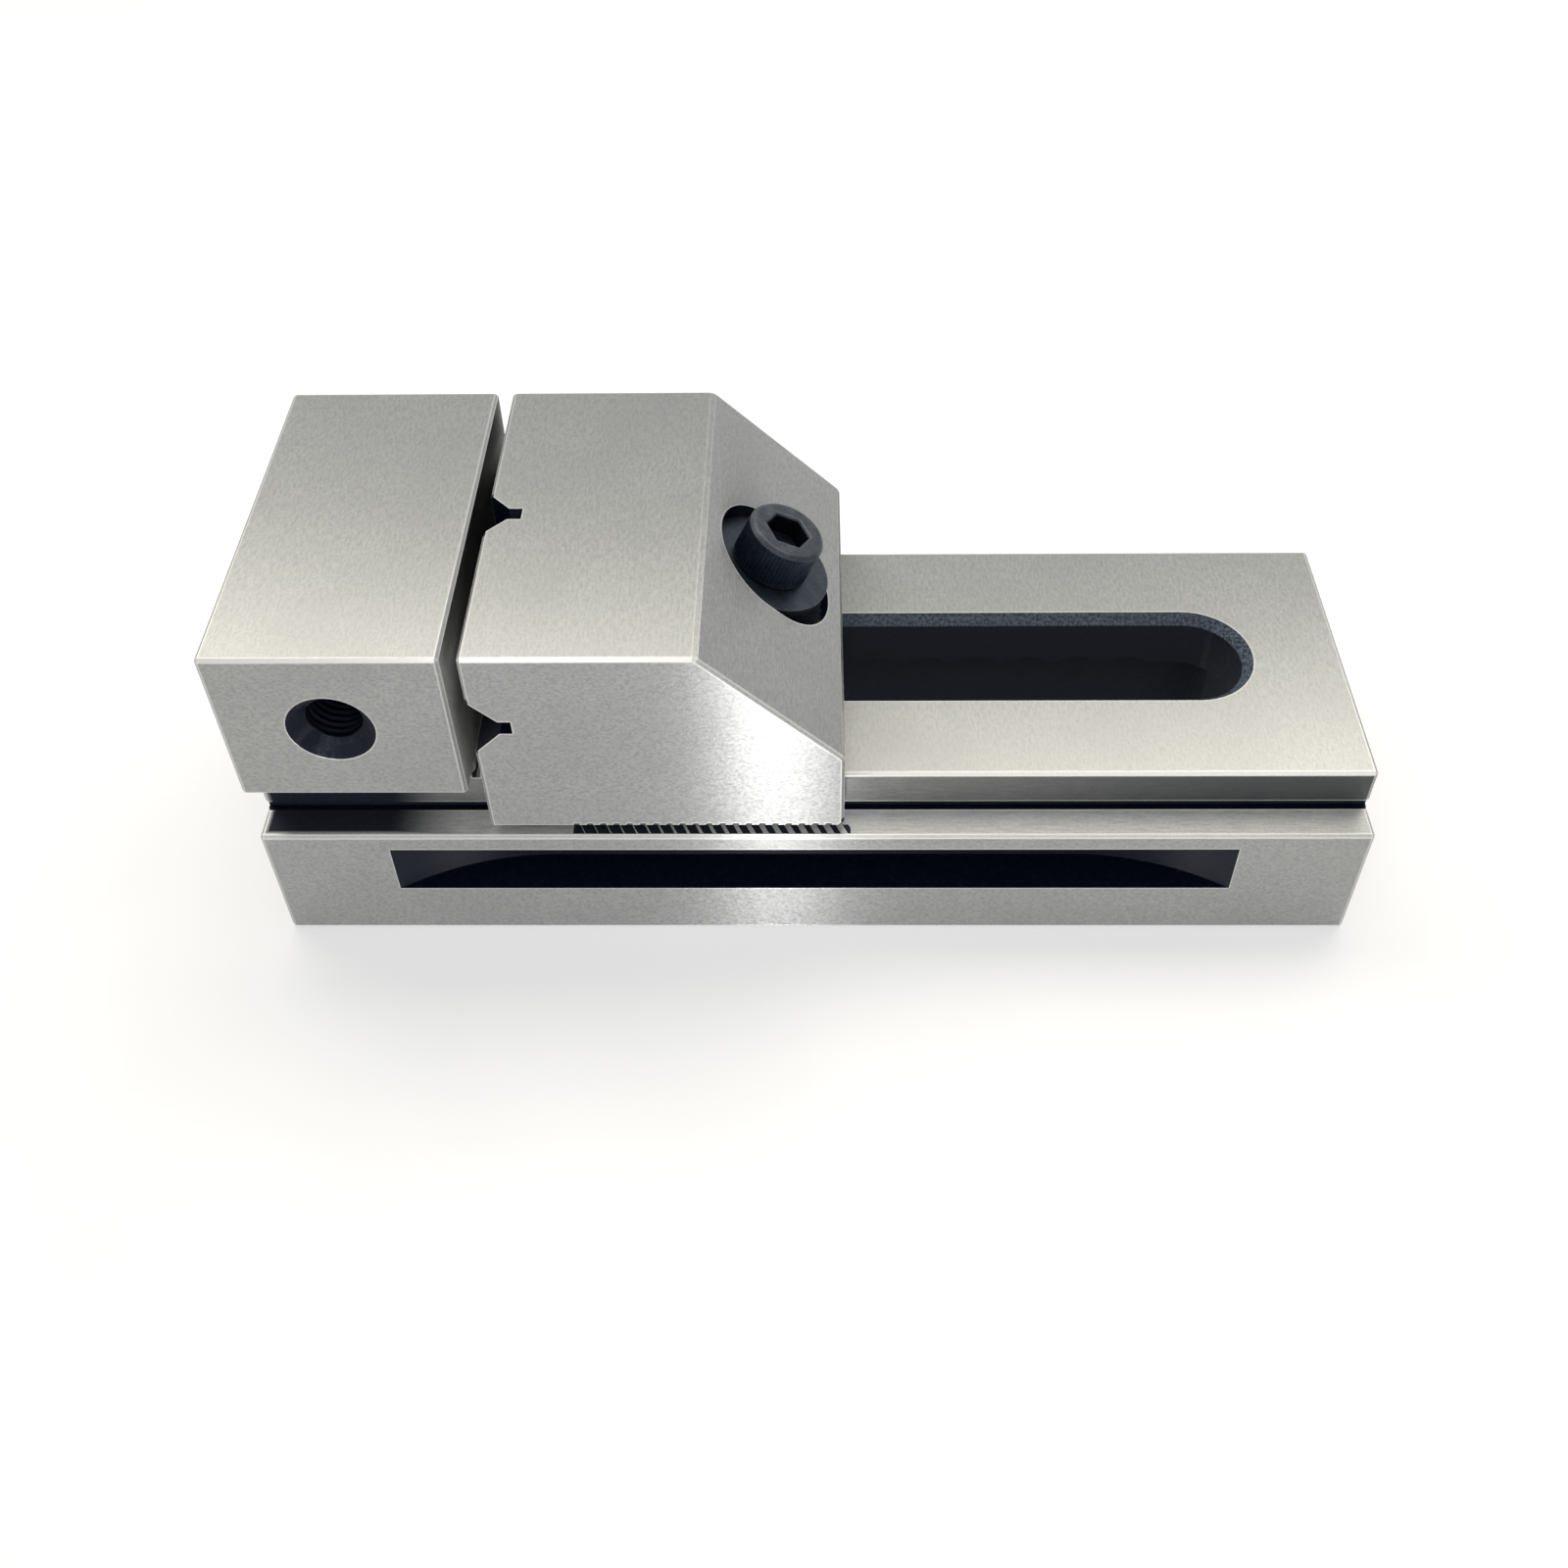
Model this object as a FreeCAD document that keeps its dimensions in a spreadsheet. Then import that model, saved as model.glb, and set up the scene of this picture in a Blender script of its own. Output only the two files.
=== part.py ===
"""Screwless toolmaker's vise of the 2 inch class, in millimetres.

X runs along the vise, from the fixed jaw to the slotted end. Y runs across it, and Z is up.
The origin is the middle of the base's underside. The movable jaw stands where its opening is
jaw_gap, and the clamping screw leans as far as it can, with its cross bar lowered.
"""
import FreeCAD
import Part

import math
import os

import Sketcher

SIZES = {
    # The ground block: base, rails and fixed jaw, measured from its left end.
    "body_length": 140.0,
    "body_width": 50.8,
    "overall_height": 50.8,
    "base_height": 19.2,
    "bed_height": 25.8,
    "rail_inset": 4.6,
    "fixed_jaw_length": 27.7,
    "overhang_height": 27.5,
    "relief_depth": 0.9,
    "relief_rise": 1.4,
    "relief_drop": 0.25,
    "corner_relief": 1.1,
    "edge_break": 0.4,
    # The slot between the rails, and the cavity under them.
    "slot_width": 14.0,
    "slot_near": 29.4,
    "slot_end_setback": 12.9,
    "slot_bevel": 1.3,
    "cavity_width": 26.0,
    "cavity_near": 27.5,
    "cavity_end_setback": 11.0,
    "cavity_ceiling": 17.4,
    "cavity_corner": 4.0,
    # The notches under the rails, which hold the cross bar.
    "notch_depth": 1.1,
    "notch_pitch": 7.0,
    "notch_count": 10,
    "notch_gap": 0.15,
    # The long slots in the sides, for machine clamps.
    "side_slot_near": 16.0,
    "side_slot_end_setback": 16.4,
    "side_slot_low": 8.6,
    "side_slot_tall": 8.0,
    "side_slot_depth": 5.6,
    "side_cutter_radius": 38.0,
    # The tapped hole in the fixed jaw's side, for a work stop.
    "stop_hole_along": 13.3,
    "stop_hole_up": 39.3,
    "stop_hole_radius": 3.4,
    "stop_hole_depth": 12.0,
    "stop_sink_radius": 5.3,
    # The movable jaw.
    "jaw_gap": 2.0,
    "jaw_length": 44.0,
    "jaw_top_length": 27.0,
    "slope_lean": 45.0,
    "skirt_clearance": 2.0,
    "skirt_gap": 0.05,
    "slide_gap": 0.03,
    "vee_slot_width": 2.0,
    "vee_across_up": 39.5,
    "vee_across_opening": 8.7,
    "vee_across_depth": 4.9,
    "vee_upright_opening": 7.3,
    "vee_upright_depth": 4.35,
    "mark_start": 9.9,
    "mark_count": 21,
    "mark_pitch": 1.65,
    "mark_width": 0.8,
    "mark_slant": 0.5,
    "mark_tall": 0.7,
    "mark_deep": 0.8,
    # The clamping screw, the half ball washer under its head and their seat.
    "screw_lean": 25.0,
    "screw_swing": 12.0,
    "swing_gap": 0.4,
    "seat_setback": 35.0,
    "seat_rise": 0.3,
    "seat_gap": 0.06,
    "seat_stretch": 2.2,
    "ball_radius": 8.2,
    "ball_flat_drop": 0.7,
    "washer_bore_radius": 3.25,
    "screw_radius": 3.0,
    "screw_stands_out": 1.1,
    "screw_tip_bevel": 0.6,
    "head_radius": 5.0,
    "head_height": 6.0,
    "head_bevel": 0.5,
    "hex_across": 5.0,
    "hex_depth": 3.0,
    # The cross bar that the screw pulls up into the notches.
    "bar_radius": 5.0,
    "bar_end_gap": 0.5,
    "bar_bore_gap": 0.05,
    "bar_bevel": 0.6,
    "bar_drop": 1.6,
    # The keeper that holds the movable jaw down, and its two screws.
    "neck_setback": 2.1,
    "neck_bar_gap": 0.5,
    "neck_gap": 0.05,
    "flange_setback": 0.5,
    "flange_bar_gap": 0.9,
    "flange_thickness": 5.0,
    "flange_gap": 0.1,
    "flange_side_gap": 0.2,
    "keeper_screw_setback": 8.0,
    "keeper_screw_spacing": 6.8,
    "keeper_screw_radius": 1.5,
    "keeper_screw_length": 16.0,
    "keeper_head_radius": 2.75,
    "keeper_head_height": 3.0,
    "keeper_hex_across": 2.5,
    "keeper_hex_depth": 1.5,
    "keeper_sink_depth": 3.3,
    "keeper_sink_gap": 0.3,
    "keeper_hole_gap": 0.2,
    "tap_gap": 0.03,
    "tap_spare": 1.5,
}

SHEET_NAME = "sizes"
WHOLE_TURN = 360.0
HEXAGON_SIDES = 6
NEARLY_ZERO = 1e-4
LOOKS_AROUND_EDGE = 8
LOOK_DISTANCE = 0.05


class Size:
    """A length or an angle that carries its number and its formula over the sheet's cells."""

    def __init__(self, value, formula):
        self.value = value
        self.formula = formula

    def _joined(self, sign, other, value):
        return Size(value, f"({self.formula} {sign} {other.formula})")

    def __add__(self, other):
        other = as_size(other)
        return self._joined("+", other, self.value + other.value)

    def __sub__(self, other):
        other = as_size(other)
        return self._joined("-", other, self.value - other.value)

    def __mul__(self, other):
        other = as_size(other)
        return self._joined("*", other, self.value * other.value)

    def __truediv__(self, other):
        other = as_size(other)
        return self._joined("/", other, self.value / other.value)

    def __neg__(self):
        return as_size(0) - self


def as_size(number):
    """A plain number as a Size; a Size as it is."""
    if isinstance(number, Size):
        return number
    return Size(float(number), str(number))


def sine(angle):
    """The sine of an angle in degrees."""
    return Size(math.sin(math.radians(angle.value)), f"sin({angle.formula})")


def cosine(angle):
    """The cosine of an angle in degrees."""
    return Size(math.cos(math.radians(angle.value)), f"cos({angle.formula})")


def tangent(angle):
    """The tangent of an angle in degrees."""
    return Size(math.tan(math.radians(angle.value)), f"tan({angle.formula})")


def root(number):
    """The square root of a length squared."""
    return Size(math.sqrt(number.value), f"sqrt({number.formula})")


class Named:
    """The driving sizes, each read by its own name."""

    def __getattr__(self, name):
        return Size(float(SIZES[name]), f"{SHEET_NAME}.{name}")


size = Named()

# Places along X, worked out from the left end of the block.
LEFT = -size.body_length / 2
RIGHT = size.body_length / 2
FACE = LEFT + size.fixed_jaw_length
JAW_FACE = FACE + size.jaw_gap
JAW_BACK = JAW_FACE + size.jaw_length
RIDGE = JAW_FACE + size.jaw_top_length
HALF_WIDTH = size.body_width / 2
HALF_RAIL = HALF_WIDTH - size.rail_inset
JAW_FLOOR = size.bed_height + size.slide_gap
SKIRT_BOTTOM = size.base_height + size.skirt_clearance

# The ball's centre lies on the screw's axis, just over the slope's surface.
SEAT_X = JAW_FACE + size.seat_setback
SLOPE_AT_SEAT = size.overall_height - (SEAT_X - RIDGE) * tangent(size.slope_lean)
SEAT_Z = SLOPE_AT_SEAT + size.seat_rise / cosine(size.slope_lean)

# A notch is a round scallop; a bar pulled fully up lies at its centre.
NOTCH_RADIUS = size.bar_radius + size.notch_gap
NOTCH_Z = size.cavity_ceiling - (NOTCH_RADIUS - size.notch_depth)
BAR_RAISED = (SEAT_Z - NOTCH_Z) / cosine(size.screw_lean)
NOTCH_X = SEAT_X - BAR_RAISED * sine(size.screw_lean)
BAR_REACH = BAR_RAISED + size.bar_drop

# The keeper hangs under the movable jaw, with its neck in the slot.
FLANGE_TOP = size.cavity_ceiling - size.flange_gap
FLANGE_BOTTOM = FLANGE_TOP - size.flange_thickness
KEEPER_SCREW_X = JAW_FACE + size.keeper_screw_setback
KEEPER_SEAT_Z = FLANGE_BOTTOM + size.keeper_sink_depth

# The flange ends short of the lowered bar, and the neck short of the raised one.
BAR_SIDE = SEAT_X - BAR_REACH * sine(size.screw_lean) - size.bar_radius
NECK_OVER_BAR = FLANGE_TOP - NOTCH_Z
BAR_SHOULDER = NOTCH_X - root(size.bar_radius * size.bar_radius - NECK_OVER_BAR * NECK_OVER_BAR)
FLANGE_END = BAR_SIDE - size.flange_bar_gap
NECK_END = BAR_SHOULDER - size.neck_bar_gap


def make_sheet(doc):
    """The table of driving sizes, one named cell for each."""
    sheet = doc.addObject("Spreadsheet::Sheet", SHEET_NAME)
    for row, (name, number) in enumerate(SIZES.items(), start=1):
        sheet.set(f"A{row}", name)
        sheet.set(f"B{row}", str(number))
        sheet.setAlias(f"B{row}", name)
    doc.recompute()


def bind(thing, path, value):
    """Tie one property to its formula."""
    thing.setExpression(path, value.formula)


class Piece:
    """One body of the vise, built feature by feature."""

    def __init__(self, doc, label):
        self.doc = doc
        self.body = doc.addObject("PartDesign::Body", label)
        self.body.Label = label

    def place(self, x, z, lean):
        """Stand the piece's own origin at x, z, leaning about Y."""
        turn = FreeCAD.Rotation(FreeCAD.Vector(0, 1, 0), lean.value)
        self.body.Placement = FreeCAD.Placement(FreeCAD.Vector(x.value, 0, z.value), turn)
        bind(self.body, "Placement.Base.x", x)
        bind(self.body, "Placement.Base.z", z)
        bind(self.body, "Placement.Rotation.Angle", lean)

    def origin_part(self, role):
        """One of the body's own planes or axes."""
        return next(item for item in self.body.Origin.OriginFeatures if item.Role == role)

    def sketch(self, name, plane, offset=None):
        """An empty sketch on one of the body's planes, or offset along that plane's normal."""
        sketch = self.body.newObject("Sketcher::SketchObject", name)
        sketch.AttachmentSupport = [(self.origin_part(plane), "")]
        sketch.MapMode = "FlatFace"
        if offset is not None:
            bind(sketch, "AttachmentOffset.Base.z", offset)
        return sketch

    def _checked(self, feature, grows):
        """Recompute, and make sure that the feature did what it is for."""
        before = self.body.Shape.Volume if not self.body.Shape.isNull() else 0.0
        self.body.Tip = feature
        self.doc.recompute()
        after = self.body.Shape.Volume
        if (after > before) != grows or after == before:
            raise RuntimeError(f"{self.body.Label}: {feature.Label} left {after - before:.3f} mm3")
        return feature

    def _extruded(self, kind, name, sketch, length, both, flip):
        feature = self.body.newObject(kind, name)
        feature.Profile = sketch
        if both:
            feature.SideType = "Symmetric"
        feature.Reversed = flip
        bind(feature, "Length", length)
        return feature

    def pad(self, name, sketch, length, both=False, flip=False):
        """Grow a solid from a sketch."""
        feature = self._extruded("PartDesign::Pad", name, sketch, length, both, flip)
        return self._checked(feature, grows=True)

    def pocket(self, name, sketch, length, both=False, flip=False):
        """Cut a sketch into the solid."""
        feature = self._extruded("PartDesign::Pocket", name, sketch, length, both, flip)
        return self._checked(feature, grows=False)

    def _turned(self, kind, name, sketch, axis):
        feature = self.body.newObject(kind, name)
        feature.Profile = sketch
        feature.ReferenceAxis = (sketch, [axis])
        feature.Angle = WHOLE_TURN
        return feature

    def revolve(self, name, sketch, axis="V_Axis"):
        """Turn a half outline into a round solid."""
        return self._checked(self._turned("PartDesign::Revolution", name, sketch, axis), grows=True)

    def groove(self, name, sketch, axis="V_Axis"):
        """Turn a half outline into a round cut."""
        return self._checked(self._turned("PartDesign::Groove", name, sketch, axis), grows=False)

    def row(self, name, feature, count, pitch):
        """Repeat a cut along X."""
        pattern = self.body.newObject("PartDesign::LinearPattern", name)
        pattern.Originals = [feature]
        pattern.Direction = (self.origin_part("X_Axis"), [""])
        pattern.Mode = "Spacing"
        bind(pattern, "Offset", pitch)
        bind(pattern, "Occurrences", count)
        return self._checked(pattern, grows=False)

    def mirror(self, name, features, plane="XZ_Plane"):
        """Repeat cuts on the other side of one of the body's planes."""
        mirrored = self.body.newObject("PartDesign::Mirrored", name)
        mirrored.Originals = features
        mirrored.MirrorPlane = (self.origin_part(plane), [""])
        return self._checked(mirrored, grows=False)

    def break_edges(self, name, wanted, width):
        """Chamfer the edges that pass a test."""
        names = [
            f"Edge{number}"
            for number, edge in enumerate(self.body.Shape.Edges, start=1)
            if wanted(edge)
        ]
        last = self.body.Tip
        chamfer = self.body.newObject("PartDesign::Chamfer", name)
        chamfer.Base = (last, names)
        bind(chamfer, "Size", width)
        return self._checked(chamfer, grows=False)


def hold(sketch, curve, point, x=None, y=None):
    """Hold a point of a curve at x, y from the sketch's origin."""
    for kind, value in (("DistanceX", x), ("DistanceY", y)):
        if value is None:
            continue
        rule = Sketcher.Constraint(kind, -1, 1, curve, point, value.value)
        number = sketch.addConstraint(rule)
        bind(sketch, f"Constraints[{number}]", value)


def outline(sketch, corners, arcs=None):
    """Draw a closed outline through corners.

    arcs gives, for the edges that are arcs, the edge's number and its centre and direction:
    +1 turns counter-clockwise from the edge's first corner to its next, -1 clockwise.
    """
    arcs = arcs or {}
    corners = [(as_size(x), as_size(y)) for x, y in corners]
    ends = []
    for number, (x, y) in enumerate(corners):
        next_x, next_y = corners[(number + 1) % len(corners)]
        start = FreeCAD.Vector(x.value, y.value, 0)
        finish = FreeCAD.Vector(next_x.value, next_y.value, 0)
        if number in arcs:
            centre_x, centre_y, turn = arcs[number]
            ends.append(draw_arc(sketch, start, finish, as_size(centre_x), as_size(centre_y), turn))
        else:
            ends.append((sketch.addGeometry(Part.LineSegment(start, finish), False), 1, 2))
    for number, (x, y) in enumerate(corners):
        curve, first, _ = ends[number]
        previous, _, last = ends[number - 1]
        hold(sketch, curve, first, x, y)
        sketch.addConstraint(Sketcher.Constraint("Coincident", previous, last, curve, first))
    return sketch


def draw_arc(sketch, start, finish, centre_x, centre_y, turn):
    """Add an arc about a centre, and return its number with its first and last point."""
    centre = FreeCAD.Vector(centre_x.value, centre_y.value, 0)
    first, last = (start, finish) if turn > 0 else (finish, start)
    angles = [math.atan2(point.y - centre.y, point.x - centre.x) for point in (first, last)]
    circle = Part.Circle(centre, FreeCAD.Vector(0, 0, 1), (start - centre).Length)
    curve = sketch.addGeometry(Part.ArcOfCircle(circle, *angles), False)
    chord = finish - start
    if abs(chord.x) > abs(chord.y):
        hold(sketch, curve, 3, y=centre_y)
    else:
        hold(sketch, curve, 3, x=centre_x)
    return (curve, 1, 2) if turn > 0 else (curve, 2, 1)


def circle(sketch, x, y, radius):
    """Draw a circle held at its centre and by its radius."""
    x, y = as_size(x), as_size(y)
    middle = FreeCAD.Vector(x.value, y.value, 0)
    ring = Part.Circle(middle, FreeCAD.Vector(0, 0, 1), radius.value)
    curve = sketch.addGeometry(ring, False)
    hold(sketch, curve, 3, x, y)
    number = sketch.addConstraint(Sketcher.Constraint("Radius", curve, radius.value))
    bind(sketch, f"Constraints[{number}]", radius)
    return sketch


def rectangle(sketch, x_low, x_high, y_low, y_high):
    """Draw a rectangle between two corners."""
    return outline(sketch, [(x_low, y_low), (x_high, y_low), (x_high, y_high), (x_low, y_high)])


def capsule(sketch, x_low, x_high, radius):
    """Draw a slot along X with round ends from x_low to x_high."""
    near, far = x_low + radius, x_high - radius
    corners = [(near, -radius), (far, -radius), (far, radius), (near, radius)]
    return outline(sketch, corners, {1: (far, 0, 1), 3: (near, 0, 1)})


def round_cornered(sketch, x_low, x_high, half, corner):
    """Draw a rectangle of half a width to each side of X, with round corners."""
    near, far, wide = x_low + corner, x_high - corner, half - corner
    corners = [
        (near, -half),
        (far, -half),
        (x_high, -wide),
        (x_high, wide),
        (far, half),
        (near, half),
        (x_low, wide),
        (x_low, -wide),
    ]
    arcs = {1: (far, -wide, 1), 3: (far, wide, 1), 5: (near, wide, 1), 7: (near, -wide, 1)}
    return outline(sketch, corners, arcs)


def hexagon(sketch, across):
    """Draw a hexagon about the sketch's origin, with two flats along X."""
    half = across / 2
    reach = half / cosine(as_size(WHOLE_TURN / HEXAGON_SIDES / 2))
    corners = [
        (reach, 0),
        (reach / 2, half),
        (-reach / 2, half),
        (-reach, 0),
        (-reach / 2, -half),
        (reach / 2, -half),
    ]
    return outline(sketch, corners)


def stands_out(shape, edge):
    """Tell whether a straight edge is an outer one, with solid on one side only."""
    if not isinstance(edge.Curve, Part.Line):
        return False
    along = edge.Curve.Direction
    across = along.cross(FreeCAD.Vector(0, 0, 1) if abs(along.z) < 0.5 else FreeCAD.Vector(1, 0, 0))
    across.normalize()
    solid = 0
    for look in range(LOOKS_AROUND_EDGE):
        turn = FreeCAD.Rotation(along, WHOLE_TURN * (look + 0.5) / LOOKS_AROUND_EDGE)
        point = edge.CenterOfMass + turn.multVec(across) * LOOK_DISTANCE
        solid += shape.isInside(point, NEARLY_ZERO, False)
    return 0 < solid < LOOKS_AROUND_EDGE / 2


def make_body(doc):
    """The block: base, rails and fixed jaw, ground from one piece."""
    piece = Piece(doc, "vise_body")
    base = [
        (-HALF_WIDTH, 0),
        (HALF_WIDTH, 0),
        (HALF_WIDTH, size.base_height),
        (HALF_RAIL, size.base_height),
        (HALF_RAIL, size.bed_height),
        (-HALF_RAIL, size.bed_height),
        (-HALF_RAIL, size.base_height),
        (-HALF_WIDTH, size.base_height),
    ]
    section = outline(piece.sketch("base_outline", "YZ_Plane"), base)
    piece.pad("base", section, size.body_length, both=True)
    neck = piece.sketch("neck_outline", "XZ_Plane")
    rectangle(neck, LEFT, FACE, size.base_height, size.overhang_height)
    piece.pad("neck", neck, HALF_RAIL * 2, both=True)
    jaw = piece.sketch("jaw_outline", "XZ_Plane")
    rectangle(jaw, LEFT, FACE, size.overhang_height, size.overall_height)
    piece.pad("fixed_jaw", jaw, size.body_width, both=True)
    shape = piece.body.Shape
    piece.break_edges("ground_edges", lambda edge: stands_out(shape, edge), size.edge_break)
    cut_underside(piece)
    cut_notches(piece)
    cut_reliefs(piece)
    cut_side_slots(piece)
    cut_stop_hole(piece)
    return piece


def cut_underside(piece):
    """The cavity under the rails, open below, and the slot between them, bevelled on top."""
    cavity = round_cornered(
        piece.sketch("cavity_outline", "XY_Plane"),
        LEFT + size.cavity_near,
        RIGHT - size.cavity_end_setback,
        size.cavity_width / 2,
        size.cavity_corner,
    )
    piece.pocket("cavity", cavity, size.cavity_ceiling, flip=True)
    near, far = LEFT + size.slot_near, RIGHT - size.slot_end_setback
    slot = capsule(piece.sketch("slot_outline", "XY_Plane"), near, far, size.slot_width / 2)
    piece.pocket("slot", slot, size.overall_height, flip=True)

    def is_slot_rim(edge):
        box = edge.BoundBox
        ends = (box.ZMin - size.bed_height.value, box.ZMax - size.bed_height.value)
        inside = max(box.YMax, -box.YMin) < size.slot_width.value
        return inside and all(abs(end) < NEARLY_ZERO for end in ends)

    piece.break_edges("slot_bevels", is_slot_rim, size.slot_bevel)


def cut_notches(piece):
    """Round notches across the rails' undersides, with one more beside the first for closed jaws."""
    notch = circle(piece.sketch("notch_outline", "XZ_Plane"), NOTCH_X, NOTCH_Z, NOTCH_RADIUS)
    first = piece.pocket("notch", notch, size.cavity_width, both=True)
    piece.row("notches", first, size.notch_count, size.notch_pitch)
    closing_x = NOTCH_X - size.jaw_gap
    closing = circle(piece.sketch("closing_outline", "XZ_Plane"), closing_x, NOTCH_Z, NOTCH_RADIUS)
    piece.pocket("closing_notch", closing, size.cavity_width, both=True)


def cut_reliefs(piece):
    """Grinding reliefs at the roots of both rails and at the foot of the fixed jaw's face."""
    root_cut = rectangle(
        piece.sketch("rail_relief_outline", "YZ_Plane"),
        HALF_RAIL - size.relief_depth,
        HALF_RAIL + size.relief_drop,
        size.base_height - size.relief_drop,
        size.base_height + size.relief_rise,
    )
    relief = piece.pocket("rail_relief", root_cut, size.body_length, both=True)
    piece.mirror("rail_reliefs", [relief])
    half = size.corner_relief / 2
    corner = rectangle(
        piece.sketch("corner_relief_outline", "XZ_Plane"),
        FACE - half,
        FACE + half,
        size.bed_height - half,
        size.bed_height + half,
    )
    piece.pocket("corner_relief", corner, size.body_width, both=True)


def cut_side_slots(piece):
    """A long slot in each side, with the curved ends that a disc cutter leaves."""
    floor = HALF_WIDTH - size.side_slot_depth
    low, high = LEFT + size.side_slot_near, RIGHT - size.side_slot_end_setback
    radius = size.side_cutter_radius
    centre_y = floor + radius
    drop = centre_y - HALF_WIDTH
    run = root(radius * radius - drop * drop)
    corners = [(low, -HALF_WIDTH), (high, -HALF_WIDTH), (high - run, -floor), (low + run, -floor)]
    arcs = {1: (high - run, -centre_y, 1), 3: (low + run, -centre_y, 1)}
    plan = piece.sketch("side_slot_outline", "XY_Plane", offset=size.side_slot_low)
    cut = piece.pocket("side_slot", outline(plan, corners, arcs), size.side_slot_tall, flip=True)
    piece.mirror("side_slots", [cut])


def cut_stop_hole(piece):
    """A blind tapped hole in the fixed jaw's front side, with a countersunk mouth."""
    plane = piece.sketch("stop_hole_outline", "XZ_Plane", offset=HALF_WIDTH)
    along = LEFT + size.stop_hole_along
    hole = circle(plane, along, size.stop_hole_up, size.stop_hole_radius)
    piece.pocket("stop_hole", hole, size.stop_hole_depth)

    def is_mouth(edge):
        return (
            isinstance(edge.Curve, Part.Circle)
            and abs(edge.Curve.Radius - size.stop_hole_radius.value) < NEARLY_ZERO
            and abs(edge.CenterOfMass.y + HALF_WIDTH.value) < NEARLY_ZERO
        )

    piece.break_edges("stop_hole_sink", is_mouth, size.stop_sink_radius - size.stop_hole_radius)


def make_jaw(doc):
    """The movable jaw, which straddles the rails."""
    piece = Piece(doc, "movable_jaw")
    slope_end = size.overall_height - (JAW_BACK - RIDGE) * tangent(size.slope_lean)
    side = [
        (JAW_FACE, SKIRT_BOTTOM),
        (JAW_BACK, SKIRT_BOTTOM),
        (JAW_BACK, slope_end),
        (RIDGE, size.overall_height),
        (JAW_FACE, size.overall_height),
    ]
    piece.pad("block", outline(piece.sketch("block_outline", "XZ_Plane"), side), size.body_width, both=True)
    shape = piece.body.Shape
    piece.break_edges("ground_edges", lambda edge: stands_out(shape, edge), size.edge_break)
    cut_channel(piece)
    cut_vees(piece)
    cut_screw_seat(piece)
    cut_marks(piece)
    tap = circle(
        piece.sketch("keeper_tap_outline", "XY_Plane", offset=JAW_FLOOR),
        KEEPER_SCREW_X,
        -size.keeper_screw_spacing / 2,
        size.keeper_screw_radius + size.tap_gap,
    )
    tapped = KEEPER_SEAT_Z + size.keeper_screw_length + size.tap_spare - JAW_FLOOR
    first = piece.pocket("keeper_tap", tap, tapped, flip=True)
    piece.mirror("keeper_taps", [first])
    return piece


def cut_channel(piece):
    """The channel that fits over the rails, with reliefs in its two inner corners."""
    wide = HALF_RAIL + size.skirt_gap
    channel = rectangle(piece.sketch("channel_outline", "YZ_Plane"), -wide, wide, 0, JAW_FLOOR)
    piece.pocket("channel", channel, size.body_length, both=True)
    half = size.corner_relief / 2
    corner = rectangle(
        piece.sketch("channel_relief_outline", "YZ_Plane"),
        wide - half,
        wide + half,
        JAW_FLOOR - half,
        JAW_FLOOR + half,
    )
    relief = piece.pocket("channel_relief", corner, size.body_length, both=True)
    piece.mirror("channel_reliefs", [relief])


def vee(sketch, middle, opening, depth):
    """Draw a right-angled vee with a narrow slot at its bottom, starting at the jaw's face."""
    half, narrow = opening / 2, size.vee_slot_width / 2
    vee_depth = half - narrow
    points = [
        (JAW_FACE, middle - half),
        (JAW_FACE + vee_depth, middle - narrow),
        (JAW_FACE + depth, middle - narrow),
        (JAW_FACE + depth, middle + narrow),
        (JAW_FACE + vee_depth, middle + narrow),
        (JAW_FACE, middle + half),
    ]
    return outline(sketch, points)


def cut_vees(piece):
    """Two vees for round work in the jaw's face: one lies across it and one stands upright."""
    plane = piece.sketch("vee_across_outline", "XZ_Plane")
    across = vee(plane, size.vee_across_up, size.vee_across_opening, size.vee_across_depth)
    piece.pocket("vee_across", across, size.body_width, both=True)
    plane = piece.sketch("vee_upright_outline", "XY_Plane")
    upright = vee(plane, as_size(0), size.vee_upright_opening, size.vee_upright_depth)
    piece.pocket("vee_upright", upright, size.overall_height, flip=True)


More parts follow.
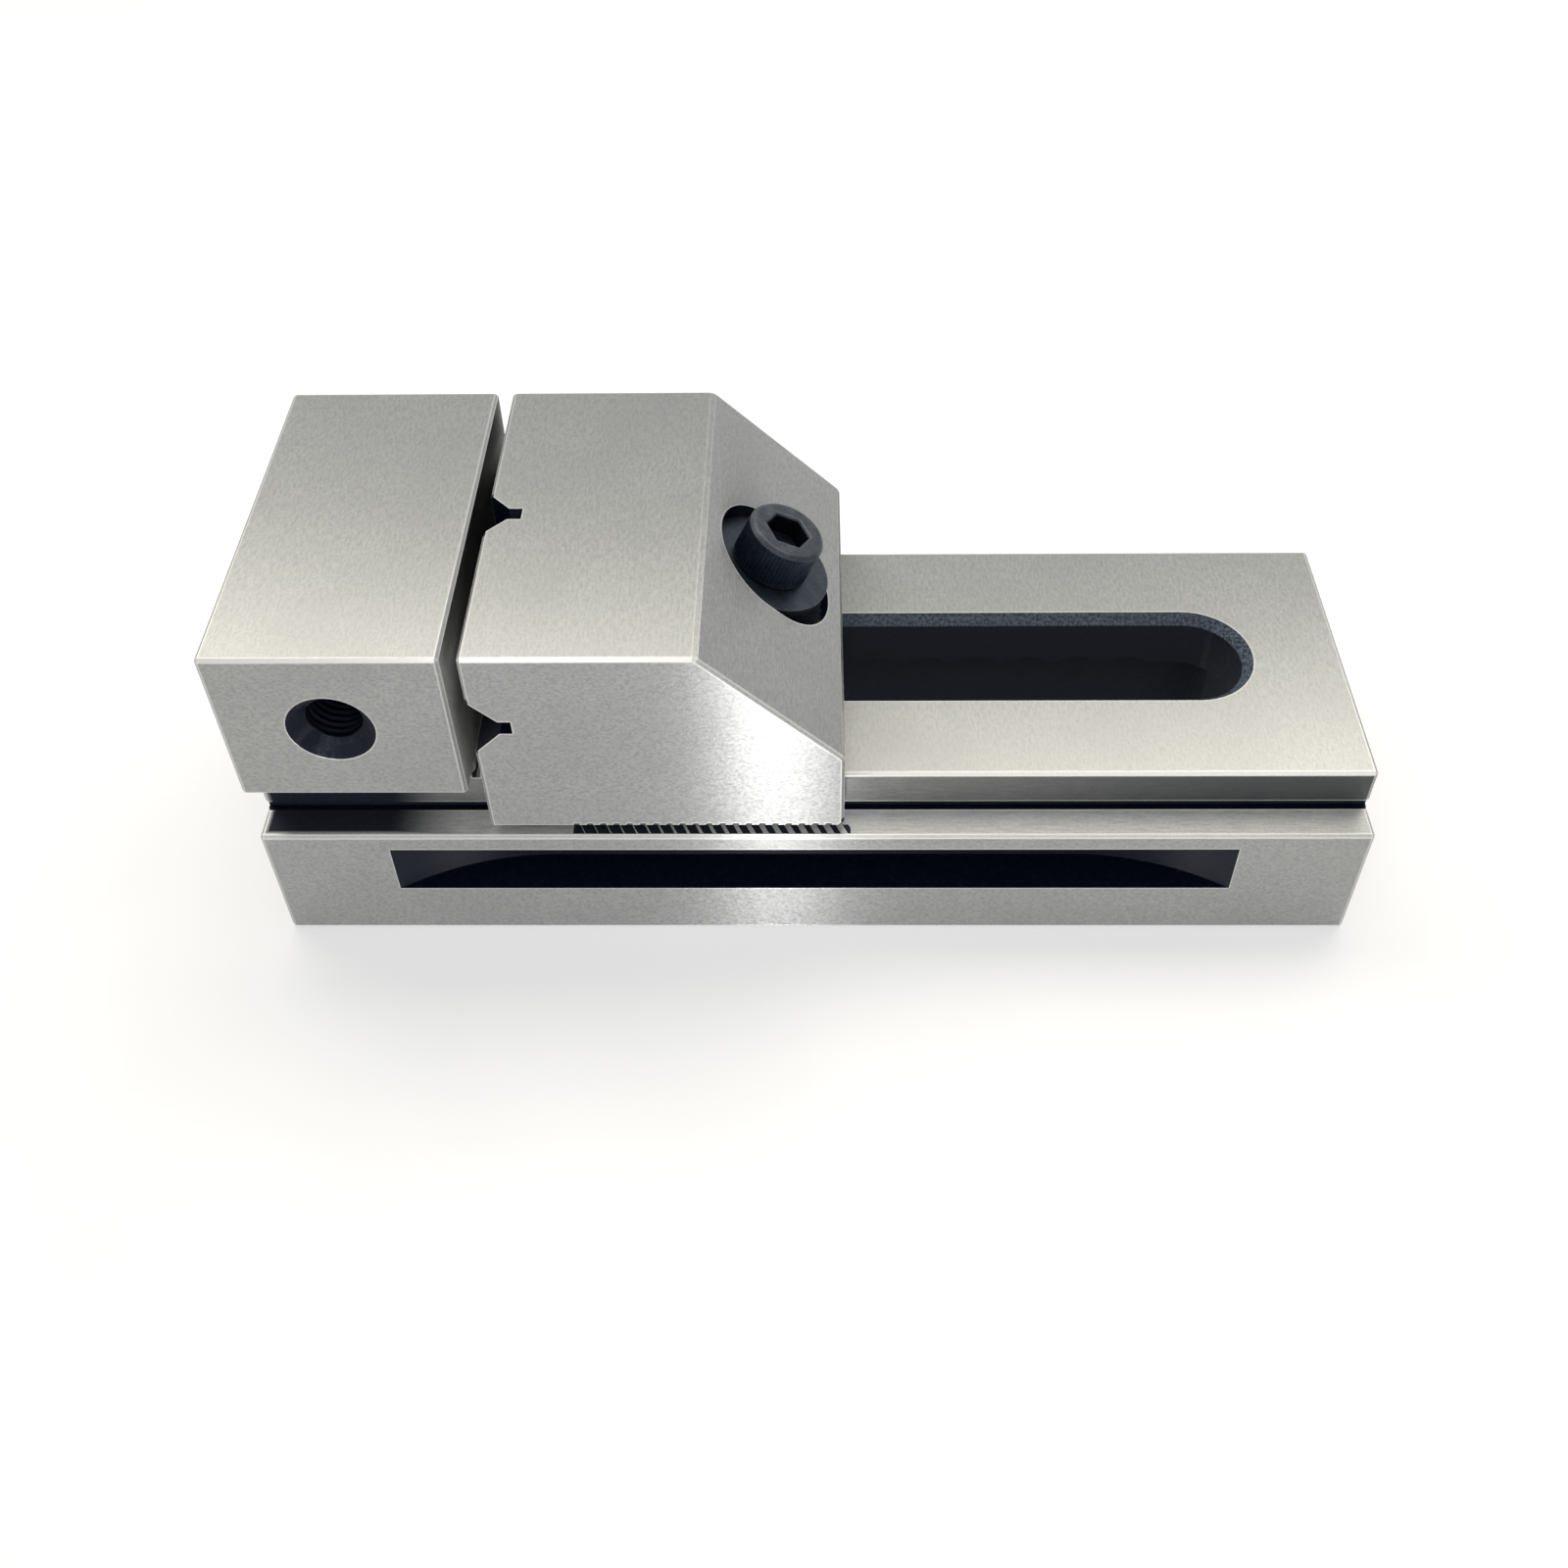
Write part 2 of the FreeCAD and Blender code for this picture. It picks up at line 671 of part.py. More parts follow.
def cut_screw_seat(piece):
    """The ball seat in the slope, stretched down it, and the fan-shaped hole for the screw."""
    radius = size.ball_radius + size.seat_gap
    run, fall = cosine(size.slope_lean), sine(size.slope_lean)
    low_x, low_z = SEAT_X + size.seat_stretch * run, SEAT_Z - size.seat_stretch * fall
    seat = piece.sketch("seat_outline", "XZ_Plane")
    corners = [
        (SEAT_X - radius * run, SEAT_Z + radius * fall),
        (SEAT_X - radius * fall, SEAT_Z - radius * run),
        (low_x - radius * fall, low_z - radius * run),
        (low_x + radius * run, low_z - radius * fall),
    ]
    outline(seat, corners, {0: (SEAT_X, SEAT_Z, 1), 2: (low_x, low_z, 1)})
    piece.groove("screw_seat", seat_with_axis(seat, corners), axis="Axis0")
    upright = size.screw_lean - size.screw_swing
    hole = size.screw_radius + size.swing_gap
    for name, lean in (("leaning_hole", size.screw_lean), ("upright_hole", upright)):
        ring = piece.sketch(f"{name}_outline", "XY_Plane")
        turn = FreeCAD.Rotation(FreeCAD.Vector(0, 1, 0), lean.value)
        middle = FreeCAD.Vector(SEAT_X.value, 0, SEAT_Z.value)
        ring.AttachmentOffset = FreeCAD.Placement(middle, turn)
        bind(ring, "AttachmentOffset.Base.x", SEAT_X)
        bind(ring, "AttachmentOffset.Base.z", SEAT_Z)
        bind(ring, "AttachmentOffset.Rotation.Angle", lean)
        piece.pocket(name, circle(ring, 0, 0, hole), size.overall_height)
    far = size.overall_height
    fan = [
        (SEAT_X, SEAT_Z),
        (SEAT_X - far * sine(size.screw_lean), SEAT_Z - far * cosine(size.screw_lean)),
        (SEAT_X - far * sine(upright), SEAT_Z - far * cosine(upright)),
    ]
    room = outline(piece.sketch("fan_outline", "XZ_Plane"), fan)
    piece.pocket("swing_room", room, hole * 2, both=True)


def seat_with_axis(seat, corners):
    """Give the seat's half outline the construction line that it turns about."""
    first, last = corners[0], corners[-1]
    start = FreeCAD.Vector(first[0].value, first[1].value, 0)
    finish = FreeCAD.Vector(last[0].value, last[1].value, 0)
    curve = seat.addGeometry(Part.LineSegment(start, finish), True)
    hold(seat, curve, 1, *first)
    hold(seat, curve, 2, *last)
    return seat


def cut_marks(piece):
    """A row of short slanted notches along the lower edge of the front skirt."""
    start = JAW_FACE + size.mark_start
    foot, top = SKIRT_BOTTOM, SKIRT_BOTTOM + size.mark_tall
    corners = [
        (start, foot - size.mark_tall),
        (start + size.mark_width, foot - size.mark_tall),
        (start + size.mark_width + size.mark_slant, top),
        (start + size.mark_slant, top),
    ]
    plane = piece.sketch("mark_outline", "XZ_Plane", offset=HALF_WIDTH)
    mark = piece.pocket("mark", outline(plane, corners), size.mark_deep)
    piece.row("marks", mark, size.mark_count, size.mark_pitch)


def make_screw(doc):
    """The socket head screw, drawn along its own axis from the ball's centre."""
    piece = Piece(doc, "clamp_screw")
    under_head = -size.ball_flat_drop
    tip = -(BAR_REACH + size.bar_radius + size.screw_stands_out)
    top = under_head + size.head_height
    half = [
        (0, tip),
        (size.screw_radius - size.screw_tip_bevel, tip),
        (size.screw_radius, tip + size.screw_tip_bevel),
        (size.screw_radius, under_head),
        (size.head_radius, under_head),
        (size.head_radius, top - size.head_bevel),
        (size.head_radius - size.head_bevel, top),
        (0, top),
    ]
    piece.revolve("turned", outline(piece.sketch("half_outline", "XZ_Plane"), half))
    socket = piece.sketch("hex_outline", "XY_Plane", offset=top)
    piece.pocket("hex_socket", hexagon(socket, size.hex_across), size.hex_depth)
    piece.place(SEAT_X, SEAT_Z, size.screw_lean)
    return piece


def make_washer(doc):
    """The half ball washer: flat under the screw's head and round in its seat."""
    piece = Piece(doc, "swivel_washer")
    bore, radius, drop = size.washer_bore_radius, size.ball_radius, size.ball_flat_drop
    depth = root(radius * radius - bore * bore)
    rim = root(radius * radius - drop * drop)
    half = [(bore, -depth), (rim, -drop), (bore, -drop)]
    sketch = outline(piece.sketch("half_outline", "XZ_Plane"), half, {0: (as_size(0), as_size(0), 1)})
    piece.revolve("half_ball", sketch)
    piece.place(SEAT_X, SEAT_Z, size.screw_lean)
    return piece


def make_bar(doc):
    """The cross bar, with a tapped hole for the screw through its middle."""
    piece = Piece(doc, "cross_bar")
    section = circle(piece.sketch("round_outline", "XZ_Plane"), 0, -BAR_REACH, size.bar_radius)
    piece.pad("bar", section, size.cavity_width - size.bar_end_gap * 2, both=True)
    piece.break_edges("bar_ends", lambda edge: isinstance(edge.Curve, Part.Circle), size.bar_bevel)
    bore = circle(piece.sketch("bore_outline", "XY_Plane"), 0, 0, size.screw_radius + size.bar_bore_gap)
    piece.pocket("tapped_bore", bore, size.overall_height)
    piece.place(SEAT_X, SEAT_Z, size.screw_lean)
    return piece


def make_keeper(doc):
    """The keeper: a neck that runs in the slot and a flange under the rails."""
    piece = Piece(doc, "keeper_block")
    flange = round_cornered(
        piece.sketch("flange_outline", "XY_Plane", offset=FLANGE_BOTTOM),
        JAW_FACE + size.flange_setback,
        FLANGE_END,
        size.cavity_width / 2 - size.flange_side_gap,
        size.cavity_corner,
    )
    piece.pad("flange", flange, size.flange_thickness)
    radius = size.slot_width / 2 - size.neck_gap
    round_end = JAW_FACE + size.neck_setback + radius
    corners = [(round_end, -radius), (NECK_END, -radius), (NECK_END, radius), (round_end, radius)]
    neck = piece.sketch("neck_outline", "XY_Plane", offset=FLANGE_TOP)
    outline(neck, corners, {3: (round_end, 0, 1)})
    piece.pad("neck", neck, JAW_FLOOR - FLANGE_TOP)
    across = -size.keeper_screw_spacing / 2
    sink = piece.sketch("sink_outline", "XY_Plane", offset=FLANGE_BOTTOM)
    circle(sink, KEEPER_SCREW_X, across, size.keeper_head_radius + size.keeper_sink_gap)
    counterbore = piece.pocket("counterbore", sink, size.keeper_sink_depth, flip=True)
    hole = piece.sketch("hole_outline", "XY_Plane", offset=FLANGE_BOTTOM)
    circle(hole, KEEPER_SCREW_X, across, size.keeper_screw_radius + size.keeper_hole_gap)
    through = piece.pocket("hole", hole, size.overall_height, flip=True)
    piece.mirror("other_hole", [counterbore, through])
    return piece


def make_keeper_screws(doc):
    """The two socket head screws that hold the keeper to the jaw, heads down."""
    screws = []
    for side, sign in (("front", -1), ("back", 1)):
        piece = Piece(doc, f"keeper_screw_{side}")
        half = [
            (0, -size.keeper_head_height),
            (size.keeper_head_radius, -size.keeper_head_height),
            (size.keeper_head_radius, 0),
            (size.keeper_screw_radius, 0),
            (size.keeper_screw_radius, size.keeper_screw_length),
            (0, size.keeper_screw_length),
        ]
        piece.revolve("turned", outline(piece.sketch("half_outline", "XZ_Plane"), half))
        socket = piece.sketch("hex_outline", "XY_Plane", offset=-size.keeper_head_height)
        hexagon(socket, size.keeper_hex_across)
        piece.pocket("hex_socket", socket, size.keeper_hex_depth, flip=True)
        bind(piece.body, "Placement.Base.x", KEEPER_SCREW_X)
        bind(piece.body, "Placement.Base.y", size.keeper_screw_spacing / 2 * sign)
        bind(piece.body, "Placement.Base.z", KEEPER_SEAT_Z)
        screws.append(piece.body)
    group = doc.addObject("Part::Compound", "keeper_screws")
    group.Label = "keeper_screws"
    group.Links = screws
    doc.recompute()
    return group


def check(doc, parts):
    """Stop if anything in the document failed or a part isn't a sound solid."""
    for item in doc.Objects:
        if {"Invalid", "Error"} & set(item.State):
            raise RuntimeError(f"{item.Label} is {item.State}")
    for part in parts:
        if part.Shape.isNull() or not part.Shape.isValid() or not part.Shape.Solids:
            raise RuntimeError(f"{part.Label} is not a sound solid")


def main():
    """Build the vise and write each part to its own file."""
    doc = FreeCAD.newDocument("toolmakers_vise")
    make_sheet(doc)
    makers = (make_body, make_jaw, make_screw, make_washer, make_bar, make_keeper)
    parts = [maker(doc).body for maker in makers]
    parts.append(make_keeper_screws(doc))
    doc.recompute()
    check(doc, parts)
    os.makedirs("parts", exist_ok=True)
    for part in parts:
        part.Shape.exportStep(f"parts/{part.Label}.step")
        box = part.Shape.BoundBox
        print(f"{part.Label}: {len(part.Shape.Solids)} solid, {part.Shape.Volume:.1f} mm3,"
              f" z {box.ZMin:.2f} to {box.ZMax:.2f}")


main()
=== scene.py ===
import logging
import math
from collections.abc import Callable
from dataclasses import dataclass
from enum import Enum

import bmesh
import bpy
from mathutils import Matrix, Vector


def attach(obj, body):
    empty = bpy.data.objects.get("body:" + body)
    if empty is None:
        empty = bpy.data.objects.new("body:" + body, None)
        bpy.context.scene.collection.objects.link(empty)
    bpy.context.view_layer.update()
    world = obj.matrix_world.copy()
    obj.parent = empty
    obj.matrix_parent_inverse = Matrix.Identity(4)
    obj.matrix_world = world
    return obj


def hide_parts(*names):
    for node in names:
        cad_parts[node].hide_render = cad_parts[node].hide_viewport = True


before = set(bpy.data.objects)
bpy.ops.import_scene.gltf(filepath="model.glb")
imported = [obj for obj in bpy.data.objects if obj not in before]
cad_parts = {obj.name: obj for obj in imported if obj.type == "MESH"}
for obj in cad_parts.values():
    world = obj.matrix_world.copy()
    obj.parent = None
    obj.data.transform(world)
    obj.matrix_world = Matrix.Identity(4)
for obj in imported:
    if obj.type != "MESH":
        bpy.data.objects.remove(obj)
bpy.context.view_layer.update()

LOG = logging.getLogger("toolmakers_vise")
MM = 0.001
WHOLE_TURN = 2 * math.pi
PHOTO_SIDE = 1600

# The block's main sizes in millimetres, and how far under a surface a painted region starts.
HALF_LENGTH = 70.0
HALF_WIDTH = 25.4
BED_HEIGHT = 25.8
TOP_HEIGHT = 50.8
SKIN = 0.02
PAST_END = HALF_LENGTH + 0.5

# Where smooth noise mostly lies, and how a rounded normal turns from the flat one at an edge.
NOISE_SPAN = (0.3, 0.7)
EDGE_SPAN = (0.999, 0.965)

# How much of a normal lies along an axis, from no to yes: on an upright side, on an end or the
# slope, and on a bevel between a side and a top.
UPRIGHT_SPAN = (0.65, 0.75)
END_SPAN = (0.50, 0.60)
BEVEL_SPAN = (0.55, 0.60)

Socket = bpy.types.NodeSocket
Range = tuple[float, float]
Triple = tuple[float, float, float]
Colour = tuple[float, float, float, float]
Value = Socket | float | Triple | Colour | Vector
Outline = Callable[[float], float]

WHITE: Colour = (1.0, 1.0, 1.0, 1.0)
UNSHADED: Triple = (1.0, 1.0, 1.0)
ALONG_X: Triple = (1.0, 0.0, 0.0)
ALONG_Y: Triple = (0.0, 1.0, 0.0)
ALONG_Z: Triple = (0.0, 0.0, 1.0)


def mm(*numbers: float) -> Vector:
    """A place in metres from its millimetres."""
    return Vector(numbers) * MM


class Slot(Enum):
    """The record's material slots."""

    BLACK_OXIDE = "black_oxide"


class Mixed(Enum):
    """What a Mix node mixes: its data type, then its two inputs and its output by number."""

    NUMBER = ("FLOAT", 2, 3, 0)
    VECTOR = ("VECTOR", 4, 5, 1)
    COLOUR = ("RGBA", 6, 7, 2)


class Layers(Enum):
    """How many finer layers a noise has, and how strong they are."""

    SMOOTH = (2.0, 0.5)
    SPARKLING = (2.0, 0.6)
    FINE = (3.0, 0.6)
    GRITTY = (4.0, 0.6)


class Graph:
    """The nodes of one material or world, with short calls for the ones that are used here."""

    def __init__(self, owner: bpy.types.Material | bpy.types.World) -> None:
        """Start with no nodes.

        Args:
            owner: Whose nodes they are.
        """
        self.owner = owner
        owner.use_nodes = True
        self.tree = owner.node_tree
        self.tree.nodes.clear()

    def node(self, kind: str, **settings: object) -> bpy.types.Node:
        """Add one node.

        Args:
            kind: The node's type name, without its ShaderNode start.
            settings: Properties to set on it.

        Returns:
            The node.
        """
        node = self.tree.nodes.new("ShaderNode" + kind)
        for name, value in settings.items():
            setattr(node, name, value)
        return node

    def feed(self, socket: Socket, value: Value) -> None:
        """Link a socket into an input, or set the input to a plain value.

        Args:
            socket: The input.
            value: A socket, a number, a vector or a colour.
        """
        if isinstance(value, Socket):
            self.tree.links.new(value, socket)
        else:
            socket.default_value = value

    def calc(self, operation: str, *values: Value) -> Socket:
        """One step of arithmetic on numbers.

        Args:
            operation: The Math node's operation.
            values: Its inputs, sockets or numbers.

        Returns:
            The result's socket.
        """
        node = self.node("Math", operation=operation)
        for socket, value in zip(node.inputs, values):
            self.feed(socket, value)
        return node.outputs[0]

    def add(self, first: Value, second: Value) -> Socket:
        """The two numbers added."""
        return self.calc("ADD", first, second)

    def less(self, first: Value, second: Value) -> Socket:
        """The first number less the second."""
        return self.calc("SUBTRACT", first, second)

    def product(self, *values: Value) -> Socket:
        """All the values multiplied.

        Args:
            values: Sockets or numbers.

        Returns:
            The product's socket.
        """
        total = values[0]
        for value in values[1:]:
            total = self.calc("MULTIPLY", total, value)
        return total

    def highest(self, *values: Value) -> Value:
        """The highest of the values.

        Args:
            values: Sockets or numbers.

        Returns:
            The highest one's socket, or the value itself where there is only one.
        """
        total = values[0]
        for value in values[1:]:
            total = self.calc("MAXIMUM", total, value)
        return total

    def vector(self, operation: str, *values: Value) -> Socket:
        """One step of arithmetic on vectors.

        Args:
            operation: The Vector Math node's operation.
            values: Its inputs, sockets or vectors.

        Returns:
            The result's socket, a number for a dot product.
        """
        node = self.node("VectorMath", operation=operation)
        for socket, value in zip(node.inputs, values):
            self.feed(socket, value)
        return node.outputs["Value" if operation == "DOT_PRODUCT" else "Vector"]

    def split(self, vector: Socket) -> list[Socket]:
        """The three parts of a vector."""
        node = self.node("SeparateXYZ")
        self.feed(node.inputs[0], vector)
        return list(node.outputs)

    def remap(
        self, value: Socket, low: float, high: float, start: float = 0.0, end: float = 1.0
    ) -> Socket:
        """Bring a number smoothly from one range to another.

        Args:
            value: The number's socket.
            low: Where the first range starts.
            high: Where the first range ends.
            start: The result at low.
            end: The result at high.

        Returns:
            The result's socket.
        """
        node = self.node("MapRange", interpolation_type="SMOOTHSTEP")
        names = ("Value", "From Min", "From Max", "To Min", "To Max")
        for name, number in zip(names, (value, low, high, start, end)):
            self.feed(node.inputs[name], number)
        return node.outputs["Result"]

    def over(self, value: Socket, edge: float, soft: float) -> Socket:
        """0 up to an edge, and 1 from soft beyond it."""
        return self.remap(value, edge, edge + soft)

    def under(self, value: Socket, edge: float, soft: float) -> Socket:
        """0 down to an edge, and 1 from soft below it."""
        return self.remap(value, edge, edge - soft)

    def mix(self, kind: Mixed, share: Value, first: Value, second: Value) -> Socket:
        """Mix two colours, vectors or numbers.

        Args:
            kind: What is mixed.
            share: How much of the second, from 0 to 1.
            first: The first value or its socket.
            second: The second value or its socket.

        Returns:
            The mixed value's socket.
        """
        data_type, first_input, second_input, output = kind.value
        node = self.node("Mix", data_type=data_type)
        self.feed(node.inputs[0], share)
        self.feed(node.inputs[first_input], first)
        self.feed(node.inputs[second_input], second)
        return node.outputs[output]

    def blend(self, share: Value, first: Value, second: Value) -> Socket:
        """Mix two colours."""
        return self.mix(Mixed.COLOUR, share, first, second)

    def place(self) -> Socket:
        """The point's place on the piece, in millimetres."""
        node = self.node("VectorMath", operation="SCALE")
        self.feed(node.inputs[0], self.node("TexCoord").outputs["Object"])
        node.inputs["Scale"].default_value = 1 / MM
        return node.outputs["Vector"]

    def mirrored(self, place: Socket) -> Socket:
        """The same place with its Y made positive.

        Args:
            place: The point's place.

        Returns:
            The mirrored place's socket.
        """
        x, y, z = self.split(place)
        node = self.node("CombineXYZ")
        for socket, value in zip(node.inputs, (x, self.calc("ABSOLUTE", y), z)):
            self.feed(socket, value)
        return node.outputs[0]

    def noise(self, place: Socket, scale: float, layers: Layers = Layers.SMOOTH) -> Socket:
        """Smooth noise over a vector.

        Args:
            place: The vector's socket.
            scale: Waves for each unit of it.
            layers: Its finer layers.

        Returns:
            The noise, a number from 0 to 1.
        """
        detail, roughness = layers.value
        node = self.node("TexNoise")
        self.feed(node.inputs["Vector"], place)
        node.inputs["Scale"].default_value = scale
        node.inputs["Detail"].default_value = detail
        node.inputs["Roughness"].default_value = roughness
        return node.outputs["Fac"]

    def bump(self, height: Socket, depth: float) -> Socket:
        """A bumped normal.

        Args:
            height: The height's socket, from 0 to 1.
            depth: The relief's real depth in millimetres.

        Returns:
            The normal's socket.
        """
        node = self.node("Bump")
        node.inputs["Strength"].default_value = 1.0
        node.inputs["Distance"].default_value = depth * MM
        self.feed(node.inputs["Height"], height)
        return node.outputs["Normal"]

    def edge_wear(self, reach: float) -> Socket:
        """How near the point is to a sharp edge.

        Args:
            reach: How far from the edge the wear reaches, in millimetres.

        Returns:
            The mask's socket, from 0 to 1.
        """
        rounded = self.node("Bevel", samples=6)
        rounded.inputs["Radius"].default_value = reach * MM
        flat = self.node("NewGeometry").outputs["Normal"]
        return self.remap(self.vector("DOT_PRODUCT", rounded.outputs["Normal"], flat), *EDGE_SPAN)

    def show(self, shader: bpy.types.Node) -> None:
        """Link the last shader to the output."""
        kind = "OutputWorld" if isinstance(self.owner, bpy.types.World) else "OutputMaterial"
        self.feed(self.node(kind).inputs["Surface"], shader.outputs[0])

    def surface(self, **inputs: Value) -> bpy.types.Material:
        """Finish the material with one principled surface.

        Args:
            inputs: Values or sockets by the shader's input names, with _ for a space.

        Returns:
            The material.
        """
        shader = self.node("BsdfPrincipled")
        for name, value in inputs.items():
            self.feed(shader.inputs[name.replace("_", " ")], value)
        self.show(shader)
        return self.owner


@dataclass(frozen=True)
class BoxRegion:
    """A box in millimetres, on both sides of the middle plane where asked.

    soft says how soft its rim is, and fade how many times softer towards its two ends.
    """

    low: Triple
    high: Triple
    both_sides: bool = False
    soft: float = 0.01
    fade: float = 1.0

    def mask(self, graph: Graph, place: Socket) -> Socket:
        """Whether the point is within the box.

        Args:
            graph: The material's nodes.
            place: The point's place.

        Returns:
            The mask's socket, from 0 to 1.
        """
        middle = (Vector(self.low) + Vector(self.high)) / 2
        half = (Vector(self.high) - Vector(self.low)) / 2
        point = graph.mirrored(place) if self.both_sides else place
        away = graph.vector("ABSOLUTE", graph.vector("SUBTRACT", point, middle))
        beyond = graph.vector("SUBTRACT", away, half)
        faded = graph.vector("MULTIPLY", beyond, (1 / self.fade, 1.0, 1.0))
        return graph.remap(graph.highest(*graph.split(faded)), self.soft, -self.soft)


@dataclass(frozen=True)
class BoreRegion:
    """The inside of a round hole that goes into the block along +Y.

    mouth and deep are the Y at which it starts and ends.
    """

    along: float
    up: float
    radius: float
    mouth: float
    deep: float
    soft: float = 0.02

    def mask(self, graph: Graph, place: Socket) -> Socket:
        """Whether the point is within the hole.

        Args:
            graph: The material's nodes.
            place: The point's place.

        Returns:
            The mask's socket, from 0 to 1.
        """
        x, y, z = graph.split(place)
        side = graph.calc("POWER", graph.less(x, self.along), 2.0)
        rise = graph.calc("POWER", graph.less(z, self.up), 2.0)
        return graph.product(
            graph.over(y, self.mouth, self.soft),
            graph.under(y, self.deep, self.soft),
            graph.under(graph.calc("SQRT", graph.add(side, rise)), self.radius, self.soft),
        )


@dataclass(frozen=True)
class PocketRegion:
    """The inside of the hole under the jaw's slope.

    slope_sum is X and Z added, anywhere on the slope.
    """

    slope_sum: float
    half_width: float
    low: float
    front: float
    back: float
    soft: float = 0.02

    def mask(self, graph: Graph, place: Socket) -> Socket:
        """Whether the point is below the slope and within the hole's outline.

        Args:
            graph: The material's nodes.
            place: The point's place.

        Returns:
            The mask's socket, from 0 to 1.
        """
        x, y, z = graph.split(place)
        return graph.product(
            graph.under(graph.add(x, z), self.slope_sum, self.soft),
            graph.under(graph.calc("ABSOLUTE", y), self.half_width, self.soft),
            graph.over(z, self.low, self.soft),
            graph.over(x, self.front, self.soft),
            graph.under(x, self.back, self.soft),
        )


@dataclass(frozen=True)
class ShadowMarkRegion:
    """A row of small slanted marks of painted shadow across a ledge.

    widths are those of the first and the last mark, slant is how far a mark leans for each
    millimetre of its length, and fall says how far under the ledge the marks are gone and over
    how much they fade there.
    """

    start: float
    end: float
    front: float
    back: float
    height: float
    pitch: float = 1.65
    widths: Range = (1.6, 0.8)
    slant: float = 0.5
    soft: float = 0.08
    fall: Range = (1.0, 0.5)

    def mask(self, graph: Graph, place: Socket) -> Socket:
        """Whether the point is on one of the marks.

        Args:
            graph: The material's nodes.
            place: The point's place.

        Returns:
            The mask's socket, from 0 to 1.
        """
        x, y, z = graph.split(place)
        lean = graph.product(graph.less(y, self.front), self.slant)
        leaned = graph.add(graph.less(x, self.start), lean)
        into_mark = graph.calc("FLOORED_MODULO", leaned, self.pitch)
        width = graph.remap(x, self.start, self.end, *self.widths)
        gone, fading = self.fall
        return graph.product(
            graph.over(graph.less(width, into_mark), 0.0, self.soft),
            graph.over(x, self.start, self.soft),
            graph.under(x, self.end, self.soft),
            graph.over(y, self.front, self.soft),
            graph.under(y, self.back, self.soft),
            graph.under(z, self.height + self.soft, self.soft),
            graph.over(z, self.height - gone, fading),
        )


Region = BoxRegion | BoreRegion | PocketRegion | ShadowMarkRegion


def inside(graph: Graph, place: Socket, regions: tuple[Region, ...]) -> Value:
    """The mask of several regions.

    Args:
        graph: The material's nodes.
        place: The point's place.
        regions: The regions, or none.

    Returns:
        The mask's socket, or 0 where there are none.
    """
    return graph.highest(0.0, *(region.mask(graph, place) for region in regions))


